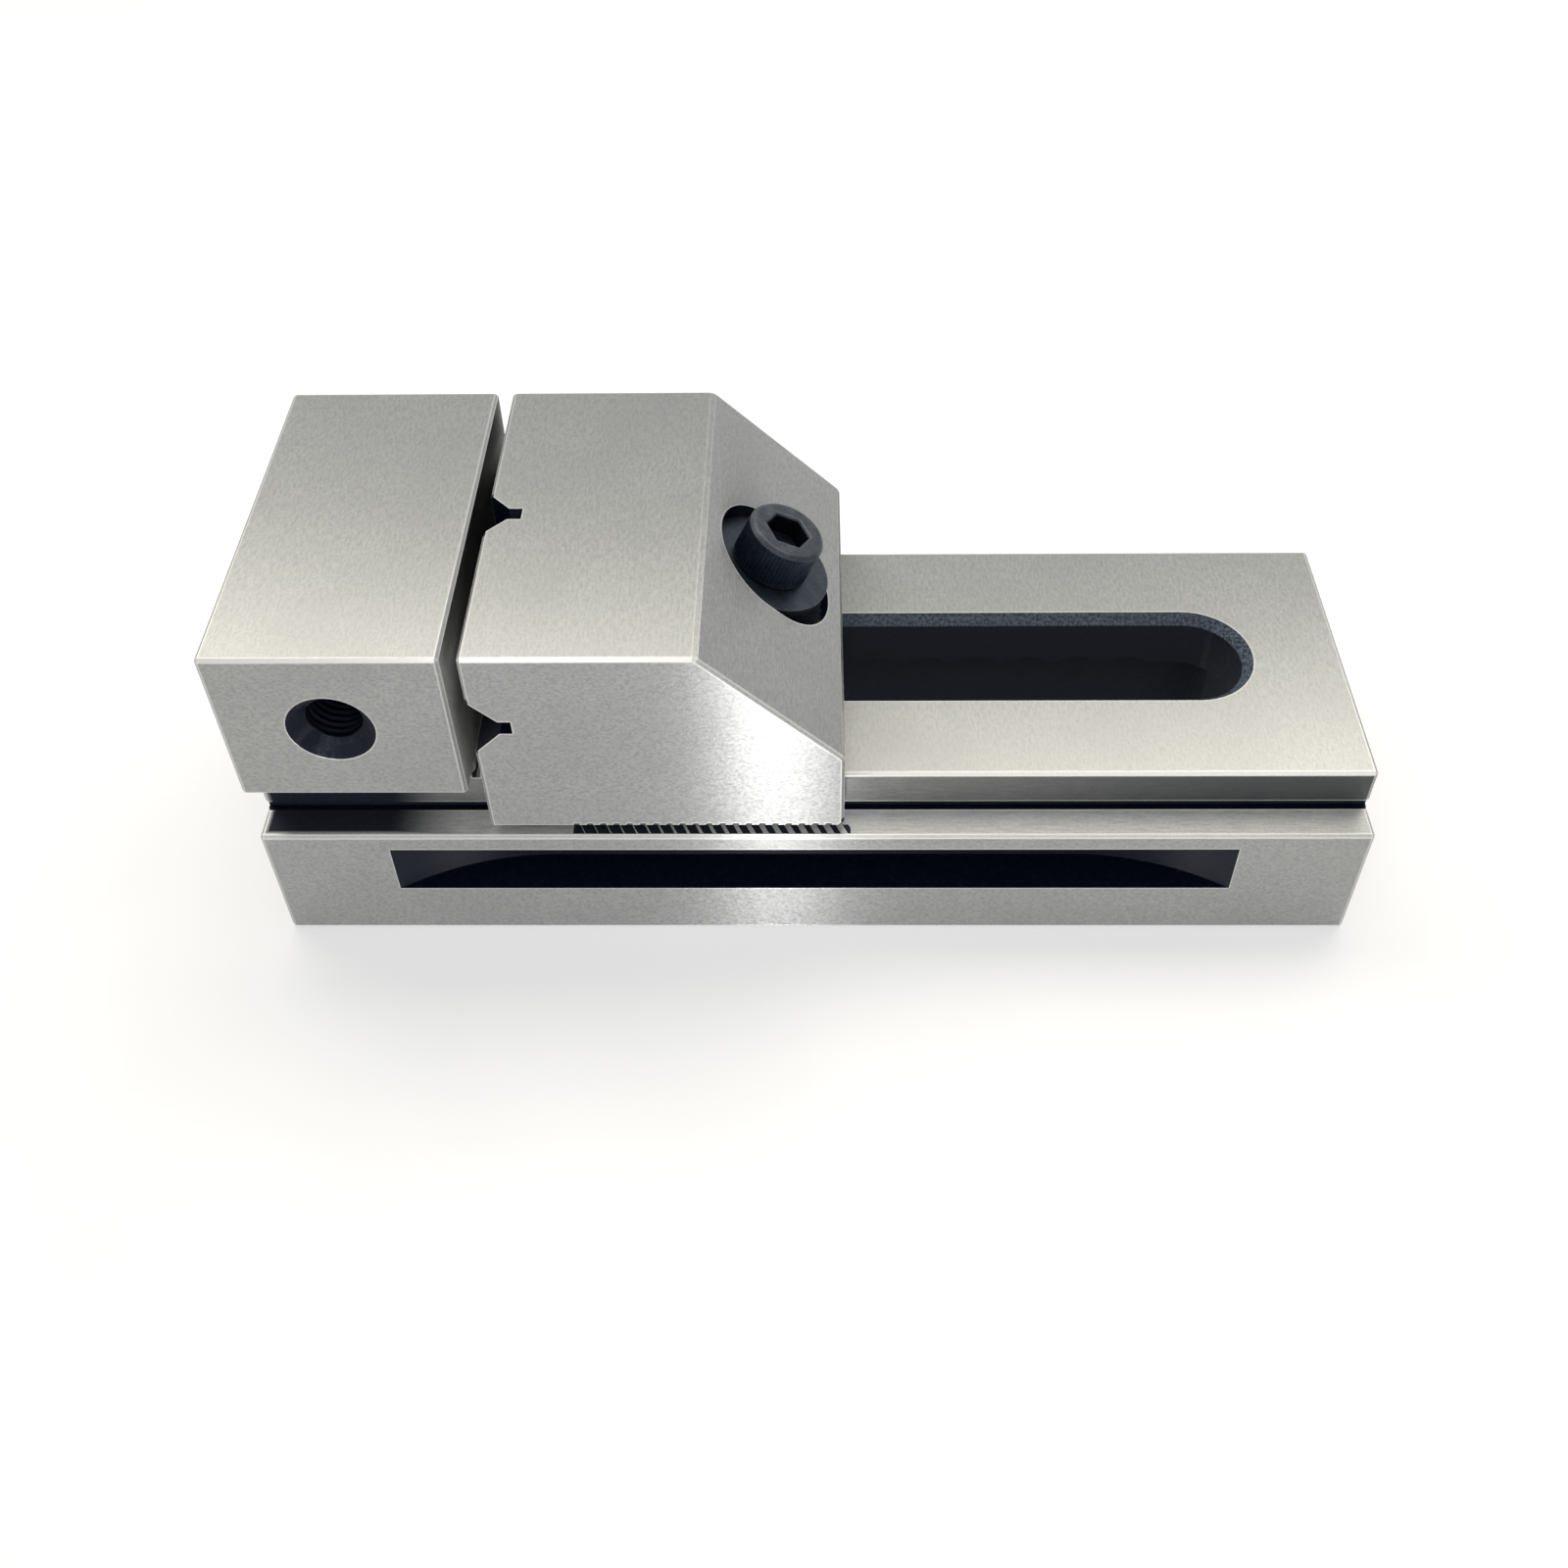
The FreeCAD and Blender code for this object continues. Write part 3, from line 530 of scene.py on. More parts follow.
@dataclass(frozen=True)
class GroundSteel:
    """Ground hardened steel, black in hollows from the hardening, with painted shade and painted
    highlight.

    Lengths are in millimetres, and noise scales in waves for each millimetre.
    """

    # The bare steel and its darker streaks, worn edges with painted highlight, the black and its
    # grey scale, the painted shade on the rail sides, and the painted blue shade in the jaw gap.
    steel: Colour = (0.490, 0.492, 0.478, 1)
    streak: Colour = (0.350, 0.354, 0.348, 1)
    bright: Colour = (0.80, 0.80, 0.77, 1)
    black: Colour = (0.002, 0.004, 0.012, 1)
    black_worn: Colour = (0.016, 0.021, 0.034, 1)
    scale_grey: Colour = (0.085, 0.105, 0.135, 1)
    rail_shade_colour: Colour = (0.075, 0.08, 0.085, 1)
    gap_shade_colour: Colour = (0.050, 0.056, 0.072, 1)
    # The noise of the lines: across them, and along them on tops, sides and drawn ledges.
    across: float = 3.6
    along: float = 0.8
    blunt: float = 2.4
    drawn: float = 0.35
    # The noise of the fine grain and of the glints on the sides, and the bump's depth.
    grain: float = 2.4
    glint: float = 6.5
    relief: float = 0.008
    # How much the lines count against the grain, in the colour and in the bump.
    line_share: float = 0.65
    line_relief: float = 0.4
    glint_relief: float = 1.3
    # Each span says from where to where something comes, and each share how strong it is.
    streak_span: Range = (0.34, 0.64)
    cloud_scale: float = 0.09
    cloud_share: float = 0.22
    # Painted shade: its share in the jaw gap, and its span and shares along X on the rail sides.
    gap_shade_share: float = 0.3
    rail_shade_span: Range = (-10.0, 60.0)
    rail_shade_shares: Range = (0.35, 0.92)
    # Painted shade: upright sides darker than the tops.
    side_shade: Triple = (0.85, 0.85, 0.86)
    # Edge wear with painted highlight, and painted highlight on the bevels, stronger higher up.
    wear_reach: float = 0.35
    wear_share: float = 0.8
    bevel_highlight_span: Range = (22.0, 28.0)
    bevel_highlight_shares: Range = (0.15, 1.0)
    rub_span: Range = (0.45, 0.75)
    rub_share: float = 0.5
    scale_span: Range = (0.35, 0.65)
    # How much the edge wear and painted highlight lighten the black.
    black_wear_and_highlight_share: float = 0.4
    # Roughness, lowest and highest.
    flat_roughness: Range = (0.45, 0.53)
    side_roughness: Range = (0.29, 0.34)
    black_roughness: Range = (0.42, 0.60)
    anisotropy: float = 1.0
    specular: float = 0.2
    # Black (hollows from the hardening, and black painted shade), with grey scale, drawn
    # lengthways, painted shade on the rail sides, and painted blue shade in the jaw gap.
    recesses_and_shade: tuple[Region, ...] = ()
    scaled: tuple[Region, ...] = ()
    brushed: tuple[Region, ...] = ()
    rail_shade_regions: tuple[Region, ...] = ()
    gap_shade_regions: tuple[Region, ...] = ()

    def stretch(self, graph: Graph, upright: Socket, brushed: Value) -> Socket:
        """What a place is multiplied by, so that the noise over it becomes grinding lines.

        Args:
            graph: The material's nodes.
            upright: The mask of upright sides.
            brushed: The mask of the brushed regions.

        Returns:
            The factors' socket.
        """
        top_lines = (self.across, self.along, self.across)
        side_lines = (self.blunt, self.across, self.across)
        drawn_lines = (self.drawn, self.across, self.across)
        lines = graph.mix(Mixed.VECTOR, upright, top_lines, side_lines)
        return graph.mix(Mixed.VECTOR, brushed, lines, drawn_lines)

    def line(self, graph: Graph, facing: list[Socket], upright: Socket, brushed: Value) -> Socket:
        """Which way the grinding lines run.

        Args:
            graph: The material's nodes.
            facing: How much of the normal lies along each axis.
            upright: The mask of upright sides.
            brushed: The mask of the brushed regions.

        Returns:
            The direction's socket: Y on tops, X on sides and Z on ends and the slope.
        """
        line = graph.mix(Mixed.VECTOR, graph.highest(upright, brushed), ALONG_Y, ALONG_X)
        return graph.mix(Mixed.VECTOR, graph.remap(facing[0], *END_SPAN), line, ALONG_Z)

    def wear_and_highlight(self, graph: Graph, place: Socket, facing: list[Socket]) -> Socket:
        """The mask of edge wear and painted highlight: near edges, and on bevels, more on higher
        ones.

        Args:
            graph: The material's nodes.
            place: The point's place.
            facing: How much of the normal lies along each axis.

        Returns:
            The mask's socket, from 0 to 1.
        """
        height = graph.split(place)[2]
        # Painted highlight on bevels between a side and a top, stronger higher up.
        bevel = graph.product(
            graph.remap(facing[1], *BEVEL_SPAN),
            graph.remap(facing[2], *BEVEL_SPAN),
            graph.remap(height, *self.bevel_highlight_span, *self.bevel_highlight_shares),
        )
        return graph.highest(graph.edge_wear(self.wear_reach), bevel)

    def bare_colour(self, graph: Graph, place: Socket, lines: Socket, grains: Socket) -> Socket:
        """The bare steel: grinding lines and clouds, with painted blue shade and painted shade
        where given.

        Args:
            graph: The material's nodes.
            place: The point's place.
            lines: The lines' noise.
            grains: The fine noise.

        Returns:
            The colour's socket.
        """
        streaks = graph.add(
            graph.product(lines, self.line_share), graph.product(grains, 1 - self.line_share)
        )
        colour = graph.blend(graph.remap(streaks, *self.streak_span), self.streak, self.steel)
        clouds = graph.noise(place, self.cloud_scale)
        share = graph.remap(clouds, *NOISE_SPAN, 0.0, self.cloud_share)
        colour = graph.blend(share, colour, self.streak)
        # Painted shade: the face in the gap between the jaws mixed towards dark blue.
        if self.gap_shade_regions:
            gap_shade = graph.product(inside(graph, place, self.gap_shade_regions), self.gap_shade_share)
            colour = graph.blend(gap_shade, colour, self.gap_shade_colour)
        # Painted shade on the rail sides, deeper towards +X.
        if self.rail_shade_regions:
            along = graph.split(place)[0]
            deepens = graph.remap(along, *self.rail_shade_span, *self.rail_shade_shares)
            rail_shade = graph.product(inside(graph, place, self.rail_shade_regions), deepens)
            colour = graph.blend(rail_shade, colour, self.rail_shade_colour)
        return colour

    def black_colour(self, graph: Graph, place: Socket, grains: Socket, wear_and_highlight: Socket) -> Socket:
        """The black of hollows and of black painted shade, with grainy grey scale where they have
        it.

        Args:
            graph: The material's nodes.
            place: The point's place.
            grains: The fine noise.
            wear_and_highlight: The mask of edge wear and painted highlight.

        Returns:
            The colour's socket.
        """
        rubbed = graph.remap(grains, *self.rub_span, 0.0, self.rub_share)
        colour = graph.blend(rubbed, self.black, self.black_worn)
        if self.scaled:
            spots = graph.remap(grains, *self.scale_span)
            grey = graph.blend(spots, self.black_worn, self.scale_grey)
            colour = graph.blend(inside(graph, place, self.scaled), colour, grey)
        # Edge wear and painted highlight lighten the black.
        return graph.blend(graph.product(wear_and_highlight, self.black_wear_and_highlight_share), colour, self.black_worn)

    def roughness(
        self, graph: Graph, lines: Socket, grains: Socket, upright: Socket, black: Value
    ) -> Socket:
        """How rough the steel is.

        Args:
            graph: The material's nodes.
            lines: The lines' noise.
            grains: The fine noise.
            upright: The mask of upright sides.
            black: The mask of the black hollows and of black painted shade.

        Returns:
            The roughness's socket.
        """
        flat = graph.remap(lines, *NOISE_SPAN, *self.flat_roughness)
        side = graph.remap(lines, *NOISE_SPAN, *self.side_roughness)
        ground = graph.mix(Mixed.NUMBER, upright, flat, side)
        dull = graph.remap(grains, *NOISE_SPAN, *self.black_roughness)
        return graph.mix(Mixed.NUMBER, black, ground, dull)

    def height(
        self, graph: Graph, place: Socket, lines: Socket, grains: Socket, upright: Socket
    ) -> Socket:
        """How high the bump is: lines, grain, and glints on the sides.

        Args:
            graph: The material's nodes.
            place: The point's place.
            lines: The lines' noise.
            grains: The fine noise.
            upright: The mask of upright sides.

        Returns:
            The height's socket.
        """
        ground = graph.add(
            graph.product(lines, self.line_relief), graph.product(grains, 1 - self.line_relief)
        )
        glints = graph.noise(place, self.glint, Layers.SPARKLING)
        return graph.add(ground, graph.product(glints, upright, self.glint_relief))

    def material(self, name: str) -> bpy.types.Material:
        """Make the material.

        Args:
            name: Its name.

        Returns:
            The material.
        """
        graph = Graph(bpy.data.materials.new(name))
        place = graph.place()
        normal = graph.node("NewGeometry").outputs["True Normal"]
        facing = graph.split(graph.vector("ABSOLUTE", normal))
        upright = graph.remap(facing[1], *UPRIGHT_SPAN)
        brushed = inside(graph, place, self.brushed)
        # Black from the hardening in hollows, and black painted shade where it is given.
        black = inside(graph, place, self.recesses_and_shade)
        stretched = graph.vector("MULTIPLY", place, self.stretch(graph, upright, brushed))
        lines = graph.noise(stretched, 1.0, Layers.FINE)
        grains = graph.noise(place, self.grain, Layers.FINE)
        wear_and_highlight = self.wear_and_highlight(graph, place, facing)
        # Painted shade: the colour of upright sides is darkened.
        side_shading = graph.mix(Mixed.VECTOR, upright, UNSHADED, self.side_shade)
        bare = graph.vector("MULTIPLY", self.bare_colour(graph, place, lines, grains), side_shading)
        # Edge wear with painted highlight near edges, and painted highlight on the bevels.
        bare = graph.blend(graph.product(wear_and_highlight, self.wear_share), bare, self.bright)
        line = self.line(graph, facing, upright, brushed)
        return graph.surface(
            Base_Color=graph.blend(black, bare, self.black_colour(graph, place, grains, wear_and_highlight)),
            Metallic=graph.less(1.0, black),
            Roughness=self.roughness(graph, lines, grains, upright, black),
            Normal=graph.bump(self.height(graph, place, lines, grains, upright), self.relief),
            Tangent=graph.vector("CROSS_PRODUCT", normal, line),
            Anisotropic=self.anisotropy,
            Specular_IOR_Level=self.specular,
        )


@dataclass(frozen=True)
class DarkFinish:
    """Blackened or dark satin steel of the small pieces."""

    deep: Colour
    rubbed: Colour
    roughness: Range
    metallic: float
    grain: float = 5.0
    relief: float = 0.008
    rub_span: Range = (0.42, 0.75)
    rub_share: float = 0.45
    cloud_scale: float = 0.5
    cloud_span: Range = (0.4, 0.7)
    cloud_share: float = 0.3
    wear_reach: float = 0.18
    wear_share: float = 0.7

    def material(self, name: str) -> bpy.types.Material:
        """Make the material.

        Args:
            name: Its name.

        Returns:
            The material.
        """
        graph = Graph(bpy.data.materials.new(name))
        place = graph.place()
        grains = graph.noise(place, self.grain, Layers.GRITTY)
        rubbing = graph.remap(grains, *self.rub_span, 0.0, self.rub_share)
        clouds = graph.noise(place, self.cloud_scale)
        clouding = graph.remap(clouds, *self.cloud_span, 0.0, self.cloud_share)
        wearing = graph.product(graph.edge_wear(self.wear_reach), self.wear_share)
        colour = self.deep
        for share in (rubbing, clouding, wearing):
            colour = graph.blend(share, colour, self.rubbed)
        return graph.surface(
            Base_Color=colour,
            Metallic=self.metallic,
            Roughness=graph.remap(grains, *NOISE_SPAN, *self.roughness),
            Normal=graph.bump(grains, self.relief),
        )


BLACK_OXIDE = DarkFinish((0.003, 0.006, 0.014, 1), (0.074, 0.094, 0.118, 1), (0.36, 0.50), 0.35)
THREAD_BLACK = DarkFinish((0.003, 0.005, 0.011, 1), (0.012, 0.016, 0.026, 1), (0.50, 0.65), 0.9)
DARK_SATIN = DarkFinish((0.013, 0.020, 0.032, 1), (0.050, 0.064, 0.082, 1), (0.34, 0.48), 0.7)
SIDE_BLACK = DarkFinish((0.001, 0.003, 0.014, 1), (0.036, 0.050, 0.078, 1), (0.34, 0.46), 0.7)


def dress(node: str, material: bpy.types.Material) -> None:
    """Give one CAD node its finish.

    Args:
        node: The node's name.
        material: The finish.
    """
    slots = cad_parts[node].data.materials
    if not slots:
        slots.append(material)
    for index in range(len(slots)):
        slots[index] = material
    LOG.info("dressed %s with %s", node, material.name)


def skin(name: str, rings: list[list[Vector]], capped: bool) -> bpy.types.Object:
    """Skin rings of points, one above the other, into one object.

    Args:
        name: The object's name.
        rings: Rings with as many points each, from the first to the last.
        capped: Whether the two ends are filled.

    Returns:
        The object, linked to the scene.
    """
    shape = bmesh.new()
    rows = [[shape.verts.new(point) for point in ring] for ring in rings]
    for lower, upper in zip(rows, rows[1:]):
        for index, corner in enumerate(lower):
            after = (index + 1) % len(lower)
            shape.faces.new((corner, lower[after], upper[after], upper[index]))
    if capped:
        shape.faces.new(rows[-1])
        shape.faces.new(reversed(rows[0]))
    mesh = bpy.data.meshes.new(name)
    shape.to_mesh(mesh)
    shape.free()
    piece = bpy.data.objects.new(name, mesh)
    bpy.context.scene.collection.objects.link(piece)
    return piece


@dataclass
class ViseBody:
    """The ground block with its fixed jaw, rails, side slots and tapped hole, in millimetres."""

    cavity: BoxRegion = BoxRegion((-44.0, -14.0, SKIN), (61.0, 14.0, BED_HEIGHT - SKIN))
    side_slots: BoxRegion = BoxRegion(
        (-54.1, 19.6, 8.5), (53.7, HALF_WIDTH - SKIN, 16.7), both_sides=True
    )
    rail_reliefs: BoxRegion = BoxRegion(
        (-PAST_END, 19.7, 18.9), (PAST_END, 20.79, 20.62), both_sides=True
    )
    # Painted shade: black on the ledge and rail side under the fixed jaw, fading towards its face.
    jaw_shade: BoxRegion = BoxRegion(
        (-69.2, 19.0, 18.0), (-56.0, HALF_WIDTH - 0.8, 26.2), both_sides=True, soft=0.35
    )
    jaw_shade_end: BoxRegion = BoxRegion(
        (-64.0, 19.0, 18.0), (-49.0, HALF_WIDTH - 0.8, 26.2), both_sides=True, soft=0.35, fade=14.0
    )
    # Painted shadow: slanted black marks on the ledge under the moving jaw's notches.
    notch_shadow_marks: ShadowMarkRegion = ShadowMarkRegion(-30.4, 4.6, front=-24.9, back=-23.4, height=19.25)
    slot_bevels: BoxRegion = BoxRegion(
        (-44.0, -8.6, BED_HEIGHT - 1.4), (61.0, 8.6, BED_HEIGHT + 0.5)
    )
    ledges: BoxRegion = BoxRegion(
        (-PAST_END, 20.7, 18.5), (PAST_END, HALF_WIDTH + 0.1, BED_HEIGHT - 0.2), both_sides=True
    )
    # Painted shade: the rail sides, darker towards +X.
    rail_sides: BoxRegion = BoxRegion(
        (-PAST_END, 20.6, 20.5), (PAST_END, 20.95, BED_HEIGHT - 0.38), both_sides=True
    )
    # Painted shade: the fixed jaw's clamping face in the gap, mixed towards dark blue.
    jaw_gap: BoxRegion = BoxRegion(
        (-42.6, 0.3 - HALF_WIDTH, BED_HEIGHT + 0.3), (-42.2, HALF_WIDTH - 4.0, 45.4), soft=1.0
    )
    # The tapped hole before its thread, and the thread, from the block's front.
    hole_along: float = -56.7
    hole_up: float = 39.3
    hole_radius: float = 3.4
    hole_depth: float = 13.4
    sink_radius: float = 5.33
    thread_gap: float = 0.01
    thread_start: float = 2.2
    thread_turns: int = 9
    thread_pitch: float = 1.0
    thread_height: float = 0.3
    thread_sides: int = 40
    thread_steps: int = 6

    def recesses_and_shade(self) -> tuple[Region, ...]:
        """The hollows that the grinding wheel doesn't reach, and black painted shade on the ledges.
        """
        mouth = SKIN - HALF_WIDTH
        hole = BoreRegion(
            self.hole_along, self.hole_up, self.sink_radius, mouth, mouth + self.hole_depth
        )
        boxes = (
            self.cavity, self.side_slots, self.rail_reliefs, self.jaw_shade, self.jaw_shade_end
        )
        return (*boxes, hole, self.notch_shadow_marks)

    def dress(self) -> None:
        """Give the block its finish."""
        steel = GroundSteel(
            recesses_and_shade=self.recesses_and_shade(),
            scaled=(self.slot_bevels,),
            brushed=(self.ledges,),
            rail_shade_regions=(self.rail_sides,),
            gap_shade_regions=(self.jaw_gap,),
        )
        dress("vise_body", steel.material("ground_steel_body"))

    def thread_ring(self, row: int) -> list[Vector]:
        """One ring of points down the tapped thread.

        Args:
            row: The ring's number from the mouth.

        Returns:
            The points, in metres.
        """
        turn, last = row / self.thread_steps, self.thread_turns
        fade = min(1.0, turn, last - turn)
        y = -HALF_WIDTH + self.thread_start + self.thread_pitch * turn
        points = []
        for side in range(self.thread_sides):
            angle = WHOLE_TURN * side / self.thread_sides
            wave = 0.5 + 0.5 * math.cos(WHOLE_TURN * turn - angle)
            radius = self.hole_radius - self.thread_gap - self.thread_height * wave * fade
            x = self.hole_along + radius * math.cos(angle)
            points.append(mm(x, y, self.hole_up + radius * math.sin(angle)))
        return points

    def cut_thread(self) -> None:
        """Make the tapped thread in the side hole."""
        rows = range(self.thread_turns * self.thread_steps + 1)
        piece = skin("stop_hole_thread", [self.thread_ring(row) for row in rows], capped=False)
        piece.data.materials.append(THREAD_BLACK.material("tapped_black"))
        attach(piece, "base")
        LOG.info("built %s", piece.name)

    def build(self) -> None:
        """Dress the block and cut its thread."""
        self.dress()
        self.cut_thread()


@dataclass
class MovableJaw:
    """The sliding jaw with its vees and ball seat, and the keeper under it, in millimetres.

    Attributes:
        long_vee: The vee across its face.
        upright_vee: The vee down its face.
        marks: The small notches along the front skirt's lower edge.
        pocket: The hole under the slope.
    """

    long_vee: BoxRegion = BoxRegion(
        (SKIN - 40.3, SKIN - HALF_WIDTH, 34.9), (-35.2, HALF_WIDTH - SKIN, 44.1)
    )
    upright_vee: BoxRegion = BoxRegion(
        (SKIN - 40.3, -4.0, 25.0), (-35.8, 4.0, TOP_HEIGHT - SKIN)
    )
    marks: BoxRegion = BoxRegion((-33.0, SKIN - HALF_WIDTH, 21.5), (4.5, -24.0, 22.6))
    pocket: PocketRegion = PocketRegion(
        slope_sum=37.5 - SKIN, half_width=8.9, low=BED_HEIGHT + 0.1, front=-12.0, back=3.1
    )

    def build(self) -> None:
        """Dress the jaw, its keeper and the keeper's screws."""
        steel = GroundSteel(recesses_and_shade=(self.long_vee, self.upright_vee, self.marks, self.pocket))
        dress("movable_jaw", steel.material("ground_steel_jaw"))
        dress("keeper_block", DARK_SATIN.material("keeper_dark"))
        dress("keeper_screws", BLACK_OXIDE.material("keeper_screw_black"))


class Part(Enum):
    """The screw's parts, each by the number of its material."""

    HEAD_TOP = 0
    SIDE = 1
    SOCKET = 2


@dataclass
class ClampScrew:
    """The socket head screw in its half ball washer, and the cross bar on its end, in millimetres.

    Heights are over the ball's centre along the screw, before it leans.
    """

    seat_x: float = -5.3
    seat_z: float = 43.2243
    lean: float = 25.0
    under_head: float = -0.7
    length: float = 39.96
    radius: float = 3.0
    pitch: float = 1.0
    thread_depth: float = 0.32
    crest: float = 0.44
    plain_length: float = 14.0
    run_out: float = 0.6
    tip_bevel: float = 0.6
    shank_overlap: float = 0.05
    shank_sides: int = 48
    steps_each_pitch: int = 8
    head_radius: float = 5.0
    head_height: float = 6.0
    head_bevel: float = 0.5
    head_sides: int = 240
    # The radius left off and the height, up the rounded rim.
    rim: tuple[Range, ...] = ((0.35, 0.0), (0.12, 0.2))
    knurl_low: float = 0.8
    knurl_high: float = 0.7
    knurl_count: int = 60
    knurl_depth: float = 0.13
    knurl_round: float = 0.6
    hex_across: float = 5.0
    hex_depth: float = 3.0
    # The width added and the depth down the socket's mouth, how far its foot is drawn in and
    # over what height, and the radius and the depth under its floor down the drill point.
    hex_mouth: tuple[Range, ...] = ((0.32, 0.0), (0.14, 0.06), (0.0, 0.3))
    hex_foot: Range = (0.08, 0.05)
    drill_rings: tuple[Range, ...] = ((2.1, 0.1), (0.2, 0.75))

    def ring(self, height: float, outline: Outline, sides: int) -> list[Vector]:
        """One ring of points about the screw's axis.

        Args:
            height: Over the ball's centre.
            outline: The radius at each angle.
            sides: How many points it has.

        Returns:
            The points, in metres.
        """
        points = []
        for index in range(sides):
            angle = WHOLE_TURN * index / sides
            radius = outline(angle)
            points.append(mm(radius * math.cos(angle), radius * math.sin(angle), height))
        return points

    def circle(self, radius: float) -> Outline:
        """A plain round outline."""
        return lambda angle: radius

    def knurled(self, share: float) -> Outline:
        """The head's side with its straight knurl.

        Args:
            share: How much of the knurl's depth it has.

        Returns:
            The outline.
        """
        def outline(angle: float) -> float:
            """The radius at one angle."""
            wave = 0.5 + 0.5 * math.cos(self.knurl_count * angle)
            return self.head_radius - share * self.knurl_depth * (1 - wave ** self.knurl_round)
        return outline

    def hexed(self, wider: float) -> Outline:
        """The hexagon socket's wall.

        Args:
            wider: How much wider than the socket it is.

        Returns:
            The outline.
        """
        def outline(angle: float) -> float:
            """The radius at one angle."""
            turned = math.degrees(angle) % 60 - 30
            return (self.hex_across / 2 + wider) / math.cos(math.radians(turned))
        return outline

    def side_profile(self) -> list[tuple[float, Outline]]:
        """The head's outlines and their heights, from under its rim to the edge of its top."""
        low, top = self.under_head, self.under_head + self.head_height
        full, bevel = self.head_radius, self.head_bevel
        rim = [(low + rise, self.circle(full - off)) for off, rise in self.rim]
        return [
            (low, self.circle(self.radius)),
            *rim,
            (low + 0.45, self.knurled(0.4)),
            (low + self.knurl_low, self.knurled(1.0)),
            (top - bevel - self.knurl_high, self.knurled(1.0)),
            (top - bevel - self.knurl_high / 2, self.knurled(0.35)),
            (top - bevel, self.circle(full - 0.03)),
            (top - bevel * 0.45, self.circle(full - bevel * 0.5)),
            (top - bevel * 0.1, self.circle(full - bevel * 0.95)),
            (top, self.circle(full - bevel * 1.4)),
        ]

    def socket_profile(self) -> list[tuple[float, Outline]]:
        """The socket's outlines and their heights, from its mouth to the drill point."""
        top = self.under_head + self.head_height
        floor = top - self.hex_depth
        drawn_in, foot = self.hex_foot
        return [
            *((top - deep, self.hexed(wider)) for wider, deep in self.hex_mouth),
            (floor + foot, self.hexed(0.0)),
            (floor, self.hexed(-drawn_in)),
            *((floor - deep, self.circle(radius)) for radius, deep in self.drill_rings),
        ]

    def head_rings(self) -> list[list[Vector]]:
        """The head's rings, from under its rim up its side and down into the socket."""
        profile = self.side_profile() + self.socket_profile()
        return [self.ring(height, outline, self.head_sides) for height, outline in profile]

    def threaded(self, height: float) -> Outline:
        """The shank's outline at one height, with its thread and the tip's bevel.

        Args:
            height: Over the ball's centre.

        Returns:
            The outline.
        """
        tip = self.under_head - self.length
        run = self.under_head - height - self.plain_length
        full = max(0.0, min(1.0, run / self.pitch, (height - tip) / self.run_out))
        drawn_in = max(0.0, self.tip_bevel - (height - tip))

        def outline(angle: float) -> float:
            """The radius at one angle."""
            phase = (height / self.pitch - angle / WHOLE_TURN) % 1.0
            groove = max(0.0, 1 - abs(phase - 0.5) / self.crest)
            return self.radius - self.thread_depth * groove * full - drawn_in
        return outline

    def shank_rings(self) -> list[list[Vector]]:
        """The threaded shank's rings, from its tip up to the head."""
        tip = self.under_head - self.length
        step = self.pitch / self.steps_each_pitch
        count = round((self.length + self.shank_overlap) / step)
        heights = [tip + step * index for index in range(count + 1)]
        return [self.ring(height, self.threaded(height), self.shank_sides) for height in heights]

    def part_at(self, centre: Vector) -> Part:
        """Which part of the screw a face belongs to.

        Args:
            centre: The face's middle in millimetres, before the screw is set in its seat.

        Returns:
            The part.
        """
        top = self.under_head + self.head_height
        reach = math.hypot(centre.x, centre.y)
        if centre.z > top - self.head_bevel * 1.1 and reach > self.hex_across / 2:
            return Part.HEAD_TOP
        in_socket = reach < self.radius and centre.z > self.under_head
        return Part.SOCKET if in_socket else Part.SIDE

    def build(self) -> None:
        """Make the screw's head and shank, and dress the washer and the bar."""
        seat = Matrix.Translation(mm(self.seat_x, 0, self.seat_z))
        stand = seat @ Matrix.Rotation(math.radians(self.lean), 4, "Y")
        finishes = {
            Part.HEAD_TOP: BLACK_OXIDE.material("screw_black"),
            Part.SIDE: SIDE_BLACK.material("screw_side_black"),
            # Painted shade: the socket's inside gets a darker copy of the black finish.
            Part.SOCKET: THREAD_BLACK.material("screw_socket_shade"),
        }
        shapes = {"clamp_screw_head": self.head_rings(), "clamp_screw_shank": self.shank_rings()}
        for name, rings in shapes.items():
            piece = skin(name, rings, capped=True)
            for part in Part:
                piece.data.materials.append(finishes[part])
            for face in piece.data.polygons:
                face.material_index = self.part_at(face.center / MM).value
            piece.data.transform(stand)
            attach(piece, "screw")
            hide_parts("clamp_screw")
            LOG.info("built %s", piece.name)
        dress("clamp_screw", finishes[Part.HEAD_TOP])
        dress("swivel_washer", DARK_SATIN.material("washer_dark"))
        dress("cross_bar", DARK_SATIN.material("bar_dark"))


@dataclass(frozen=True)
class SoftBox:
    """A soft lamp.

    Places and sides are in metres, and level is how many times as bright as white it looks.
    """

    name: str
    at: Triple
    sides: Range
    level: float
    target: Triple = (0.0, 0.0, 0.03)
    colour: Triple = (1.0, 1.0, 1.0)

    def build(self) -> None:
        """Hang the lamp, out of the camera's own sight."""
        data = bpy.data.lights.new(self.name, "AREA")
        data.shape = "RECTANGLE"
        data.size, data.size_y = self.sides
        data.energy = self.level * math.pi * self.sides[0] * self.sides[1]
        data.color = self.colour
        lamp = bpy.data.objects.new(self.name, data)
        lamp.location = self.at
        aim = Vector(self.target) - lamp.location
        lamp.rotation_euler = aim.to_track_quat("-Z", "Y").to_euler()
        lamp.visible_camera = False
        bpy.context.scene.collection.objects.link(lamp)


